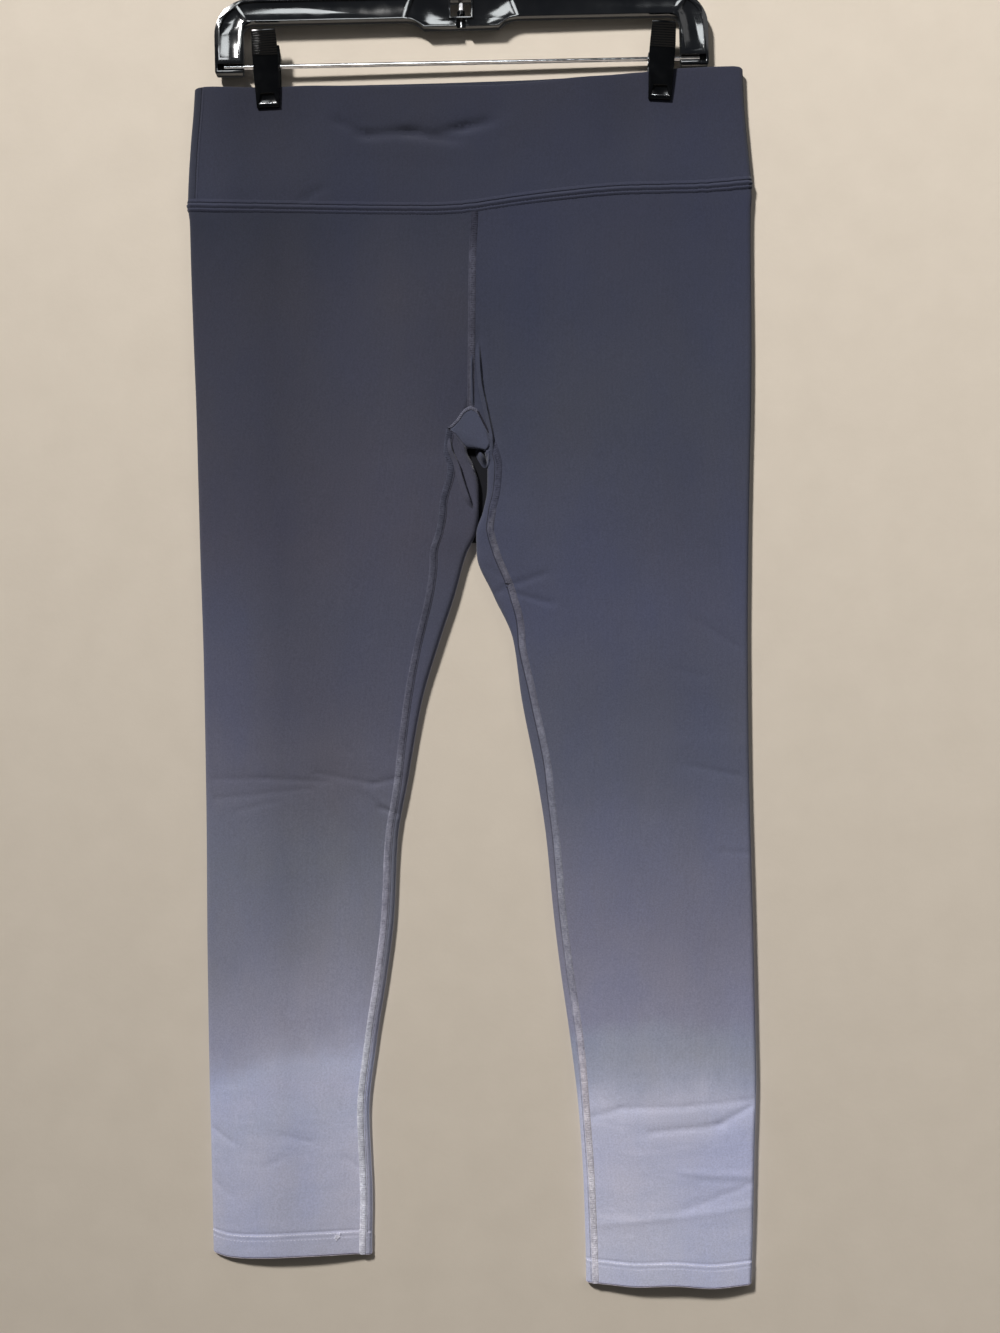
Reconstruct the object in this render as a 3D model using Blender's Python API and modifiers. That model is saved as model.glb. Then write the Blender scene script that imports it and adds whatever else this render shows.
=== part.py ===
"""High-rise leggings hung by the waistband from a clip hanger.

The origin is the point under the top of the hanger's hook where the rail carries it.
X runs to the viewer's right, the garment's front faces -Y and Z is up.  Metres.
"""
from collections import namedtuple
from math import acos, atan2, cos, exp, hypot, pi, radians, sin, sqrt

import bmesh
import bpy
import numpy as np
from mathutils import Matrix, Vector

MM = 0.001

# ---------------------------------------------------------------- driving sizes
GAP = 0.3 * MM                # between pieces that touch
GUSSET_GAP = 0.6 * MM         # the gusset's seams run round tight turns
BAR_Z = -150 * MM             # axis of the clip bar below the hook's bearing point

CLOTH = 1.6 * MM              # one layer of knit
BAND = 2.4 * MM               # the waistband is the same knit folded double
LEG_FOLD = 3.0 * MM           # radius where a leg folds over at its sides
BAND_FOLD = 3.4 * MM          # radius where the waistband folds over at its sides
CLAMPED = 2.6 * MM            # half thickness of the waistband under a clip
HANG_TURN = radians(1.0)      # how far the garment has turned about Z at its hems
TURN_START = 30 * MM          # drop below the bar where that turn begins
TURN_LENGTH = 850 * MM

HANGER_WIDTH = 356 * MM       # a 14 inch trouser hanger
HANGER_DEPTH = 7 * MM
ARM_WIDTH = 20 * MM
BEAM_TOP = 48 * MM            # above the bar
BEAM_BOTTOM = 31.5 * MM
PLATE_TOP = 64 * MM           # the centre plate stands taller and hangs lower
PLATE_BOTTOM = 25 * MM
ARM_END = 5.4 * MM            # below the bar
CORNER = 26 * MM              # radius of the outer corner
INNER_CORNER = 8 * MM
POCKET_RIM = 3 * MM           # left standing round every moulded pocket
POCKET_DEPTH = 2.6 * MM
WINDOW = (15 * MM, 12 * MM)   # width and height of the hole behind the hook's shank
WINDOW_Z = 38 * MM            # its middle above the bar
BAR_RADIUS = 1.5 * MM
BAR_INSET = 6 * MM            # from the outside of the arms to the bar's ends
HOOK_RADIUS = 22 * MM         # inside of the hook
HOOK_WIRE = 3.4 * MM
HOOK_BEND = 7 * MM            # bend where the shank turns into the hook
SHANK_FOOT = 36 * MM          # the shank's lower end above the bar
CLIP_WIDTH = 18.4 * MM
CLIP_X = (-141 * MM, 144 * MM)
CLIP_LEAN = (radians(1.8), radians(-4.0))   # each clip has swung a little on the bar, about Y
SPRING_LENGTH = 8 * MM
SPRING_WIRE = 1.3 * MM

# ---------------------------------------------------------------- garment tables, in mm
# All drops are measured down from the clip bar, x from the hook's line.
Edge = namedtuple("Edge", "drop left right")
SIDES = [                     # the folded outer edges of the garment
    Edge(12, -193.2, 202.8), Edge(30, -194.6, 203.2), Edge(59, -197.6, 205.0),
    Edge(85, -199.6, 207.0), Edge(101, -200.3, 207.6), Edge(112, -199.2, 206.6),
    Edge(145, -199.0, 205.9), Edge(203, -198.2, 205.2), Edge(250, -197.4, 203.9),
    Edge(290, -197.2, 202.2), Edge(350, -196.9, 199.8), Edge(430, -196.1, 197.5),
    Edge(530, -196.5, 196.5), Edge(645, -198.1, 197.0), Edge(730, -198.5, 196.9),
    Edge(790, -198.3, 194.4), Edge(845, -198.2, 192.2), Edge(890, -197.4, 189.7),
]
Centre = namedtuple("Centre", "drop x")
CENTRE = [                    # the centre front and centre back seams
    Centre(80, 6.6), Centre(110, 6.3), Centre(140, 4.3), Centre(193, 2.5), Centre(250, 0.7),
]
INNER = [                     # each leg's inner fold, from the crotch down
    Edge(250, 0.7, 0.7), Edge(281, -2.0, 10.0), Edge(292, 2.6, 12.2), Edge(308, 5.8, 11.8),
    Edge(325, 5.4, 8.2), Edge(341, 2.6, 3.0), Edge(356, -4.6, 3.2), Edge(385, -13.4, 14.4),
    Edge(418, -25.0, 28.2), Edge(460, -38.4, 33.4), Edge(518, -50.0, 43.4),
    Edge(560, -58.2, 49.0), Edge(615, -62.0, 53.2), Edge(655, -67.6, 57.2),
    Edge(706, -76.6, 63.4), Edge(760, -83.2, 68.6), Edge(815, -82.0, 71.0),
    Edge(862, -83.2, 71.4), Edge(890, -83.2, 71.2),
]
Wrap = namedtuple("Wrap", "drop left right")
INSEAM = [                    # how far the inseam lies in from the inner fold, on the front
    Wrap(250, 12.5, 8.5), Wrap(285, 15.5, 8.5), Wrap(320, 26.0, 7.0), Wrap(343, 26.5, 11.6),
    Wrap(367, 20.5, 16.6), Wrap(394, 17.4, 13.0), Wrap(424, 14.6, 6.0), Wrap(460, 10.6, 9.0),
    Wrap(500, 8.4, 9.8), Wrap(540, 6.6, 7.8), Wrap(610, 6.6, 7.0), Wrap(700, 6.2, 7.2),
    Wrap(765, 5.9, 5.6), Wrap(890, 6.6, 6.6),
]
Depth = namedtuple("Depth", "drop hips leg")
DEPTHS = [                    # thickness front to back at the middle of hips and leg
    Depth(10, 12.0, 12.0), Depth(50, 14.6, 14.0), Depth(103, 16.0, 16.0),
    Depth(180, 20.0, 19.0), Depth(260, 19.0, 21.0), Depth(350, 16.0, 21.0),
    Depth(500, 14.0, 18.0), Depth(620, 14.0, 18.5), Depth(740, 14.0, 16.0), Depth(890, 14.0, 15.0),
]
Top = namedtuple("Top", "x front back")
TOP_EDGE = [                  # the waistband's folded top, its front sagging between the clips
    Top(-200, 17.0, 17.0), Top(-192, 15.0, 14.8), Top(-186, 14.5, 14.2), Top(-150, 15.4, 14.2),
    Top(-111, 15.6, 12.7), Top(-88, 17.2, 12.4), Top(-34, 18.4, 12.1), Top(20, 19.0, 11.5),
    Top(52, 17.2, 11.1), Top(76, 14.8, 10.4), Top(106, 12.7, 9.4), Top(130, 10.4, 8.6),
    Top(155, 8.2, 7.8), Top(197, 7.7, 7.6), Top(202, 8.4, 8.4), Top(208, 12.0, 12.0),
]
Line = namedtuple("Line", "x drop")
WAIST_SEAM = [
    Line(-201, 98.6), Line(-148, 101.2), Line(-96, 103.8), Line(-47, 104.8), Line(5, 103.2),
    Line(55, 98.8), Line(114, 95.2), Line(163, 94.6), Line(208, 91.2),
]
LEFT_HEM = [
    Line(-197, 856.2), Line(-186, 859.0), Line(-173, 859.7), Line(-128, 858.5), Line(-96, 858.3),
    Line(-83, 859.8),
]
RIGHT_HEM = [
    Line(71, 881.4), Line(88, 882.5), Line(108, 883.9), Line(132, 883.3), Line(164, 885.8),
    Line(189, 884.8),
]

Span = namedtuple("Span", "start end")
PINCH_BESIDE = Span(1.5, 48)  # beside a clip, where its pinch begins to fade and is gone
PINCH_BELOW = Span(33, 92)    # the same in drop
TO_LEGS = Span(150, 275)      # drops over which the hips' section becomes the legs' two
PARTING = Span(256, 280)      # drops over which the legs' inner edges become folds

# Creases and rolls in the hanging cloth: from one end to the other, how wide, and how high
# (a trough is negative).  face is -1 on the front and +1 on the back.
Fold = namedtuple("Fold", "face x0 drop0 x1 drop1 width height")
FOLDS = [
    Fold(-1, -84, 42, -26, 51, 6, -1.3), Fold(-1, -26, 51, 22, 39, 6, -1.5),
    Fold(-1, -70, 62, 10, 66, 9, 0.9),
    Fold(+1, -60, 46, 50, 50, 7, -1.2),
    Fold(-1, -192, 514, -106, 516, 7, -1.3), Fold(-1, -110, 509, -56, 519, 6, -1.5),
    Fold(-1, -192, 528, -118, 522, 6, -1.0), Fold(-1, -84, 526, -56, 542, 6, -1.4),
    Fold(+1, -180, 506, -70, 518, 8, -1.6), Fold(+1, -170, 530, -90, 524, 7, -1.2),
    Fold(-1, 158, 406, 196, 429, 6, -1.2), Fold(-1, 150, 494, 196, 497, 6, 1.0),
    Fold(-1, 150, 510, 190, 520, 6, -1.2), Fold(-1, 84, 540, 130, 541, 8, -0.8),
    Fold(+1, 70, 512, 170, 520, 8, -1.5), Fold(+1, 90, 538, 180, 530, 7, -1.0),
    Fold(-1, -200, 764, -176, 780, 6, -1.3), Fold(-1, -104, 750, -88, 774, 6, -1.2),
    Fold(-1, -150, 773, -122, 778, 7, -0.9), Fold(-1, -200, 802, -180, 817, 6, -0.9),
    Fold(+1, -190, 770, -100, 782, 8, -1.4),
    Fold(-1, 74, 762, 110, 755, 6, -1.3), Fold(-1, 110, 755, 194, 752, 6, -1.4),
    Fold(-1, 116, 773, 168, 770, 6, -1.5), Fold(-1, 168, 769, 194, 757, 6, -1.6),
    Fold(-1, 150, 805, 192, 810, 7, 1.3), Fold(-1, 190, 814, 136, 831, 6, -1.0),
    Fold(-1, 82, 838, 192, 830, 6, 1.2),
    Fold(+1, 84, 770, 186, 764, 8, -1.6), Fold(+1, 90, 822, 180, 830, 8, -1.0),
]
LEG_LEVELS = {                # outer drop of each ring below the crotch, closer at the folds
    "left": [290, 306, 322, 341, 356, 375, 400, 430, 462, 490, 508, 516, 524, 532, 542, 560, 590,
             625, 665, 706, 740, 758, 767, 776, 786, 802, 820, 842],
    "right": [290, 306, 322, 341, 356, 375, 400, 414, 428, 460, 486, 496, 508, 518, 528, 540, 560,
              600, 645, 690, 730, 748, 756, 764, 772, 784, 800, 809, 818, 830, 840, 862],
}
HIP_LEVELS = [124, 150, 178, 205, 230]
HEM_LEVEL = {"left": 859, "right": 884}
CROTCH_ROWS = 5
FACE_COLUMNS = 12             # across one face of a leg
BAND_COLUMNS = 22             # across one face of the waistband
BAND_HEIGHTS = [0, 0.13, 0.27, 0.38, 0.47, 0.56, 0.68, 0.84, 1]
BAND_TURNED = 6.0             # the band's side seams lie this far round from its folds, in mm
EDGE_STRIP = 1.8              # first strip of cloth beside a seam, in mm


# ---------------------------------------------------------------- reading the tables
def track(rows, key, value):
    """A smooth curve through two columns of a table, without overshoot."""
    xs = np.array([getattr(row, key) for row in rows], dtype=float)
    ys = np.array([getattr(row, value) for row in rows], dtype=float)
    steps = np.diff(xs)
    slopes = np.diff(ys) / steps
    tangents = np.zeros(len(xs))
    tangents[0], tangents[-1] = slopes[0], slopes[-1]
    for i in range(1, len(xs) - 1):
        if slopes[i - 1] * slopes[i] > 0:
            tangents[i] = 2 * slopes[i - 1] * slopes[i] / (slopes[i - 1] + slopes[i])

    def read(x):
        x = min(max(x, xs[0]), xs[-1])
        i = min(int(np.searchsorted(xs, x, side="right")) - 1, len(steps) - 1)
        t = (x - xs[i]) / steps[i]
        return float(
            ys[i] * (1 + 2 * t) * (1 - t) ** 2
            + ys[i + 1] * t * t * (3 - 2 * t)
            + steps[i] * (tangents[i] * t * (1 - t) ** 2 - tangents[i + 1] * t * t * (1 - t))
        )

    return read


OUTER_X = {side: track(SIDES, "drop", side) for side in ("left", "right")}
CENTRE_X = track(CENTRE, "drop", "x")
FOLD_X = {side: track(INNER, "drop", side) for side in ("left", "right")}
SEAM_WRAP = {side: track(INSEAM, "drop", side) for side in ("left", "right")}
HIP_DEPTH = track(DEPTHS, "drop", "hips")
LEG_DEPTH = track(DEPTHS, "drop", "leg")
TOP = {-1: track(TOP_EDGE, "x", "front"), 1: track(TOP_EDGE, "x", "back")}
waist_seam = track(WAIST_SEAM, "x", "drop")
HEM = {"left": track(LEFT_HEM, "x", "drop"), "right": track(RIGHT_HEM, "x", "drop")}
SEAM_LEVEL = 100.0            # mean drop of the waist seam
CROTCH_DROP = 250.0


def inner_x(side, drop):
    """The seam between the legs, or below the crotch the leg's own inner fold."""
    return CENTRE_X(drop) if drop < CROTCH_DROP else FOLD_X[side](drop)


def smooth(low, high, value):
    t = min(max((value - low) / (high - low), 0.0), 1.0)
    return t * t * (3 - 2 * t)


def rounding(distance, radius):
    """Share of the full half depth left this near to a folded edge."""
    reach = 1 - min(max(distance, 0.0), radius) / radius
    return sqrt(max(0.0, 1 - reach * reach))


# ---------------------------------------------------------------- the hanging form
def fold_height(face, x, drop):
    """Relief of every crease and roll that passes near this point."""
    total = 0.0
    for fold in FOLDS:
        if fold.face != face:
            continue
        run_x = fold.x1 - fold.x0
        run_drop = fold.drop1 - fold.drop0
        run = hypot(run_x, run_drop)
        along = ((x - fold.x0) * run_x + (drop - fold.drop0) * run_drop) / run
        across = ((x - fold.x0) * run_drop - (drop - fold.drop0) * run_x) / run
        past = max(-along, along - run, 0.0)
        total += fold.height * exp(-(across / fold.width) ** 2 - (past / (2 * fold.width)) ** 2)
    return total


def clip_hold(x, drop):
    """1 where a clip pinches the band flat, falling to 0 away from it."""
    hold = 0.0
    for centre in CLIP_X:
        beside = abs(x - centre / MM) - 0.5 * CLIP_WIDTH / MM
        hold = max(hold, 1 - smooth(PINCH_BESIDE.start, PINCH_BESIDE.end, beside))
    return hold * (1 - smooth(PINCH_BELOW.start, PINCH_BELOW.end, drop))


def half_depth(side, x, drop, fold_radius):
    """Half the thickness of the hanging garment, before its creases, in mm."""
    left, right = OUTER_X["left"](drop), OUTER_X["right"](drop)
    across = (2 * x - left - right) / (right - left)
    hips = fold_radius + (HIP_DEPTH(drop) / 2 - fold_radius) * max(0.0, 1 - across * across)
    inner, outer = inner_x(side, drop), OUTER_X[side](drop)
    across = (2 * x - inner - outer) / (outer - inner)
    leg = fold_radius + (LEG_DEPTH(drop) / 2 - fold_radius) * max(0.0, 1 - across * across)
    legs = smooth(TO_LEGS.start, TO_LEGS.end, drop)
    parted = smooth(PARTING.start, PARTING.end, drop)
    inner_edge = 1 - parted + parted * rounding(abs(x - inner), fold_radius)
    depth = (hips * (1 - legs) + leg * legs) * inner_edge
    held = clip_hold(x, drop)
    depth = depth * (1 - held) + min(depth, CLAMPED / MM) * held
    return depth * rounding(abs(outer - x), fold_radius)


def hung(x, y, drop):
    """From the garment's own flat frame, in mm, to where it hangs."""
    turn = HANG_TURN * smooth(TURN_START, TURN_START + TURN_LENGTH, drop * MM)
    return Vector((
        (x * cos(turn) + y * sin(turn)) * MM,
        (y * cos(turn) - x * sin(turn)) * MM,
        BAR_Z - drop * MM,
    ))


def leg_x(side, angle, drop):
    inner, outer = inner_x(side, drop), OUTER_X[side](drop)
    return inner + (outer - inner) * (1 - cos(angle)) / 2


def leg_angle(side, distance, drop):
    """The ring angle that lies this far from the leg's inner edge."""
    width = abs(OUTER_X[side](drop) - inner_x(side, drop))
    return acos(1 - 2 * distance / width)


def face_of(angle):
    return -1 if 0 <= angle % (2 * pi) <= pi else 1


def leg_point(side, angle, drop):
    """A point of the leg's outer surface: 0 is the inner fold, then front, outer fold, back."""
    x = leg_x(side, angle, drop)
    face = face_of(angle)
    depth = half_depth(side, x, drop, LEG_FOLD / MM)
    relief = fold_height(face, x, drop) * smooth(1.0, LEG_FOLD / MM + 1, depth)
    return hung(x, face * (depth + relief), drop)


# ---------------------------------------------------------------- rings of the legs
SAG_SPREAD = 0.36             # how far round from the inner fold the cloth sags, in radians
Arch = namedtuple("Arch", "share left right")
CROTCH_ARCH = [               # drop of the gusset's seam on its way from back tip to corner
    Arch(0.0, 256, 256), Arch(0.25, 269, 269), Arch(0.5, 279, 280), Arch(0.75, 274.5, 281),
    Arch(1.0, 266, 276),
]
ARCH = {side: track(CROTCH_ARCH, "share", side) for side in ("left", "right")}
TIP_LEVEL = 253.0             # drop of the gusset's front and back tips
TIP_WIDTH = 4.6               # from the centre line to the end of each tip
CORNER_LEVEL = {"left": 260.0, "right": 269.0}
Ring = namedtuple("Ring", "level first last sag front_sag")


def sag_share(angle):
    """Share of a ring's sag at this angle: all of it at the inner fold."""
    near = min(angle % (2 * pi), 2 * pi - angle % (2 * pi))
    return exp(-(near / SAG_SPREAD) ** 2)


def ring_drop(side, ring, angle):
    """Drop of a ring at this angle: level, but following seam and hem, and sagging inside."""
    x = leg_x(side, angle, ring.level)
    top = (waist_seam(x) - SEAM_LEVEL) * (1 - smooth(SEAM_LEVEL, 240, ring.level))
    hem_level = HEM_LEVEL[side]
    low = (HEM[side](x) - hem_level) * smooth(hem_level - 50, hem_level, ring.level)
    sag = ring.front_sag if angle < pi else ring.sag
    return ring.level + top + low + sag * sag_share(angle)


def crotch_ring(side, share):
    """The ring whose ends run along the gusset, from its tips (0) to its side corner (1)."""
    level = TIP_LEVEL + (CORNER_LEVEL[side] - TIP_LEVEL) * share
    tip = leg_angle(side, TIP_WIDTH, TIP_LEVEL)
    corner = leg_angle(side, SEAM_WRAP[side](level), level)
    slit = leg_angle(side, 0.5 * GAP / MM, level) * 0.3 * share
    first = tip + (corner - tip) * share + slit
    last = 2 * pi - tip + (corner + tip) * share - slit
    sag = (ARCH[side](share) - level) / sag_share(last)
    return Ring(level, first, last, sag, sag * share)


def leg_rings(side):
    """Every ring of a leg, from the waist seam down to the hem."""
    rings = []
    for level in [SEAM_LEVEL + GAP / MM] + HIP_LEVELS + [TIP_LEVEL - 3]:
        edge = leg_angle(side, 0.5 * GAP / MM, level)
        rings.append(Ring(level, edge, 2 * pi - edge, 0.0, 0.0))
    rings += [crotch_ring(side, i / (CROTCH_ROWS - 1)) for i in range(CROTCH_ROWS)]
    last_sag = rings[-1].sag
    for level in LEG_LEVELS[side] + [HEM_LEVEL[side]]:
        wrap = SEAM_WRAP[side](level)
        first = leg_angle(side, wrap + 0.5 * GAP / MM, level)
        last = 2 * pi + leg_angle(side, wrap - 0.5 * GAP / MM, level)
        sag = last_sag * (1 - smooth(CORNER_LEVEL[side] - 20, 340, level))
        rings.append(Ring(level, first, last, sag, sag))
    return rings


def steps_between(start, end, count):
    return [start + (end - start) * i / count for i in range(count + 1)]


def ring_angles(side, ring):
    """Angles along a ring: a narrow strip beside each edge, then evenly to the outer fold."""
    begin = abs(leg_x(side, ring.first, ring.level) - inner_x(side, ring.level))
    end = abs(leg_x(side, ring.last, ring.level) - inner_x(side, ring.level))
    first = leg_angle(side, begin + EDGE_STRIP, ring.level)
    strip = abs(leg_angle(side, end + EDGE_STRIP, ring.level) - leg_angle(side, end, ring.level))
    front = steps_between(first, pi, FACE_COLUMNS - 1)
    back = steps_between(pi, ring.last - strip, FACE_COLUMNS)
    return [ring.first] + front + back[1:] + [ring.last]


def leg_rows(side):
    """Rows of points over the whole leg."""
    return [
        [leg_point(side, angle, ring_drop(side, ring, angle)) for angle in ring_angles(side, ring)]
        for ring in leg_rings(side)
    ]


# ---------------------------------------------------------------- Blender helpers
def material(name, colour, roughness, metallic=0.0):
    made = bpy.data.materials.new(name)
    made.use_nodes = True
    shader = made.node_tree.nodes["Principled BSDF"]
    shader.inputs["Base Color"].default_value = (*colour, 1)
    shader.inputs["Roughness"].default_value = roughness
    shader.inputs["Metallic"].default_value = metallic
    made.diffuse_color = (*colour, 1)
    return made


def add_object(name, mesh, finish, collection):
    made = bpy.data.objects.new(name, mesh)
    mesh.materials.append(finish)
    collection.objects.link(made)
    return made


def sheet_mesh(name, rows):
    """An open surface through rows of points."""
    bm = bmesh.new()
    grid = [[bm.verts.new(point) for point in row] for row in rows]
    for upper, lower in zip(grid, grid[1:]):
        for i in range(len(upper) - 1):
            bm.faces.new((upper[i], lower[i], lower[i + 1], upper[i + 1]))
    mesh = bpy.data.meshes.new(name)
    bm.to_mesh(mesh)
    bm.free()
    mesh.shade_smooth()
    return mesh


def cloth_wall(name, rows, thickness, finish, collection):
    """A piece of cloth: its outer surface, thickened inwards."""
    made = add_object(name, sheet_mesh(name, rows), finish, collection)
    wall = made.modifiers.new("Cloth", "SOLIDIFY")
    wall.thickness = thickness
    wall.offset = -1
    wall.use_even_offset = True
    wall.use_quality_normals = True
    return made


def box_mesh(size, centre):
    bm = bmesh.new()
    bmesh.ops.create_cube(bm, size=1, matrix=Matrix.Translation(centre) @ Matrix.Diagonal((*size, 1)))
    mesh = bpy.data.meshes.new("Box")
    bm.to_mesh(mesh)
    bm.free()
    return mesh


def cut(target, cutter_mesh, name, cutters):
    """Take a box or other closed mesh out of the target."""
    cutter = bpy.data.objects.new(name, cutter_mesh)
    cutters.objects.link(cutter)
    cutter.hide_render = True
    cutter.display_type = "WIRE"
    taken = target.modifiers.new(name, "BOOLEAN")
    taken.operation = "DIFFERENCE"
    taken.object = cutter


def prism(name, outline, depth, plane):
    """A flat outline given a thickness, centred; plane is "XZ" or "YZ"."""
    curve = bpy.data.curves.new(name, "CURVE")
    curve.dimensions = "2D"
    curve.fill_mode = "BOTH"
    curve.extrude = depth / 2
    spline = curve.splines.new("POLY")
    spline.points.add(len(outline) - 1)
    for point, (a, b) in zip(spline.points, outline):
        point.co = (a, b, 0, 1)
    spline.use_cyclic_u = True
    holder = bpy.data.objects.new(name, curve)
    bpy.context.scene.collection.objects.link(holder)
    bpy.context.view_layer.update()
    mesh = bpy.data.meshes.new_from_object(holder.evaluated_get(bpy.context.evaluated_depsgraph_get()))
    bpy.data.objects.remove(holder)
    bpy.data.curves.remove(curve)
    bm = bmesh.new()
    bm.from_mesh(mesh)
    bmesh.ops.remove_doubles(bm, verts=bm.verts, dist=0.00001)
    turn = Matrix.Rotation(pi / 2, 4, "X")
    if plane == "YZ":
        turn = Matrix.Rotation(pi / 2, 4, "Z") @ turn
    bmesh.ops.transform(bm, matrix=turn, verts=bm.verts)
    bmesh.ops.recalc_face_normals(bm, faces=bm.faces)
    bm.to_mesh(mesh)
    bm.free()
    mesh.name = name
    return mesh


# ---------------------------------------------------------------- waistband
def band_point(angle, drop):
    """A point of the waistband's outer surface: 0 is its left fold, then front, right fold."""
    left, right = OUTER_X["left"](drop), OUTER_X["right"](drop)
    x = left + (right - left) * (1 - cos(angle)) / 2
    side = "left" if x < CENTRE_X(drop) else "right"
    face = face_of(angle)
    depth = half_depth(side, x, drop, BAND_FOLD / MM)
    relief = fold_height(face, x, drop) * smooth(BAND_FOLD / MM - 1, BAND_FOLD / MM + 1, depth)
    return hung(x, face * (depth + relief), drop)


def band_rows(angles):
    """Rings from the folded top edge down to the waist seam."""
    rows = []
    for height in BAND_HEIGHTS:
        row = []
        for angle in angles:
            x = OUTER_X["left"](50) * (1 + cos(angle)) / 2 + OUTER_X["right"](50) * (1 - cos(angle)) / 2
            top, low = TOP[face_of(angle)](x), waist_seam(x) - 0.5 * GAP / MM
            row.append(band_point(angle, top + (low - top) * height))
        rows.append(row)
    return rows


def make_waistband(finish, collection):
    """Front and back bands; the side seams lie a little way round from the folds."""
    width = OUTER_X["right"](50) - OUTER_X["left"](50)
    slit = 0.5 * GAP / MM
    near, far, inside, outside = (
        acos(1 - 2 * (BAND_TURNED + offset) / width)
        for offset in (-slit, slit, -EDGE_STRIP, EDGE_STRIP)
    )
    front = [far] + steps_between(outside, pi + inside, BAND_COLUMNS - 2) + [pi + near]
    back = [pi + far] + steps_between(pi + outside, 2 * pi + inside, BAND_COLUMNS - 2) + [2 * pi + near]
    cloth_wall("waistband_front", band_rows(front), BAND, finish, collection)
    cloth_wall("waistband_back", band_rows(back), BAND, finish, collection)


# ---------------------------------------------------------------- gusset
def gusset_rows():
    """The diamond between the legs: front tip, side corners, back tip."""
    columns = 4
    steps = CROTCH_ROWS - 1
    path = [(i / steps, False) for i in range(CROTCH_ROWS)]
    path += [(i / steps, True) for i in range(steps - 1, -1, -1)]
    rows = []
    for share, back in path:
        left, right = (gusset_seam(side, share, back) for side in ("left", "right"))
        across = (right - left).normalized()
        left = left + across * GUSSET_GAP
        right = right - across * GUSSET_GAP
        rise = (3 * MM - GAP) * max(0.0, 1 - 2 * share)
        row = []
        for i in range(columns + 1):
            t = i / columns
            point = left.lerp(right, t)
            point.z += rise * (1 - abs(2 * t - 1)) - GAP * (share == 0)
            row.append(point)
        rows.append(row)
    return rows


def gusset_seam(side, share, back):
    """A point on the seam between the gusset and one leg."""
    ring = crotch_ring(side, share)
    angle = ring.last if back else ring.first
    return leg_point(side, angle, ring_drop(side, ring, angle))


# ---------------------------------------------------------------- hanger
Shoulder = namedtuple("Shoulder", "x fall")
PLATE_SHOULDER = [            # the plate's top corner running out to the beam, in mm below its top
    Shoulder(12, 0), Shoulder(24, 3), Shoulder(40, 14.5), Shoulder(52, 16),
]
Chamfer = namedtuple("Chamfer", "x rise")
PLATE_CHAMFER = [Chamfer(33, 6), Chamfer(27, 0)]
Pocket = namedtuple("Pocket", "x width")
BEAM_POCKETS = [Pocket(68, 54), Pocket(121, 44)]   # middle and width of each, in mm
ARM_POCKET_HEIGHT = 24 * MM
ARM_POCKET_Z = 17 * MM        # its middle above the bar
BAR_SIDES = 14
HOOK_SIDES = 16
HOOK_END = radians(205)       # the wire's end, counted round from +X


def arc_points(centre, radius, start, end, count):
    return [
        (centre[0] + radius * cos(start + (end - start) * i / count),
         centre[1] + radius * sin(start + (end - start) * i / count))
        for i in range(count + 1)
    ]


def hanger_outline():
    """Half outline, clockwise from the plate's top to its bottom on the +X side."""
    outer = HANGER_WIDTH / 2
    inner = outer - ARM_WIDTH
    half = [(x * MM, BAR_Z + PLATE_TOP - fall * MM) for x, fall in PLATE_SHOULDER]
    half += arc_points((outer - CORNER, BAR_Z + BEAM_TOP - CORNER), CORNER, pi / 2, 0, 7)
    half += [(outer, BAR_Z - ARM_END), (inner, BAR_Z - ARM_END)]
    centre = (inner - INNER_CORNER, BAR_Z + BEAM_BOTTOM - INNER_CORNER)
    half += arc_points(centre, INNER_CORNER, 0, pi / 2, 3)
    half += [(x * MM, BAR_Z + PLATE_BOTTOM + rise * MM) for x, rise in PLATE_CHAMFER]
    return half


def cylinder_mesh(name, radius, length, centre, axis, sides):
    """A closed cylinder along axis "X" or "Z"."""
    turn = Matrix.Rotation(pi / 2, 4, "Y") if axis == "X" else Matrix.Identity(4)
    bm = bmesh.new()
    bmesh.ops.create_cone(
        bm, cap_ends=True, segments=sides, radius1=radius, radius2=radius, depth=length,
        matrix=Matrix.Translation(centre) @ turn,
    )
    mesh = bpy.data.meshes.new(name)
    bm.to_mesh(mesh)
    bm.free()
    return mesh


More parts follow.
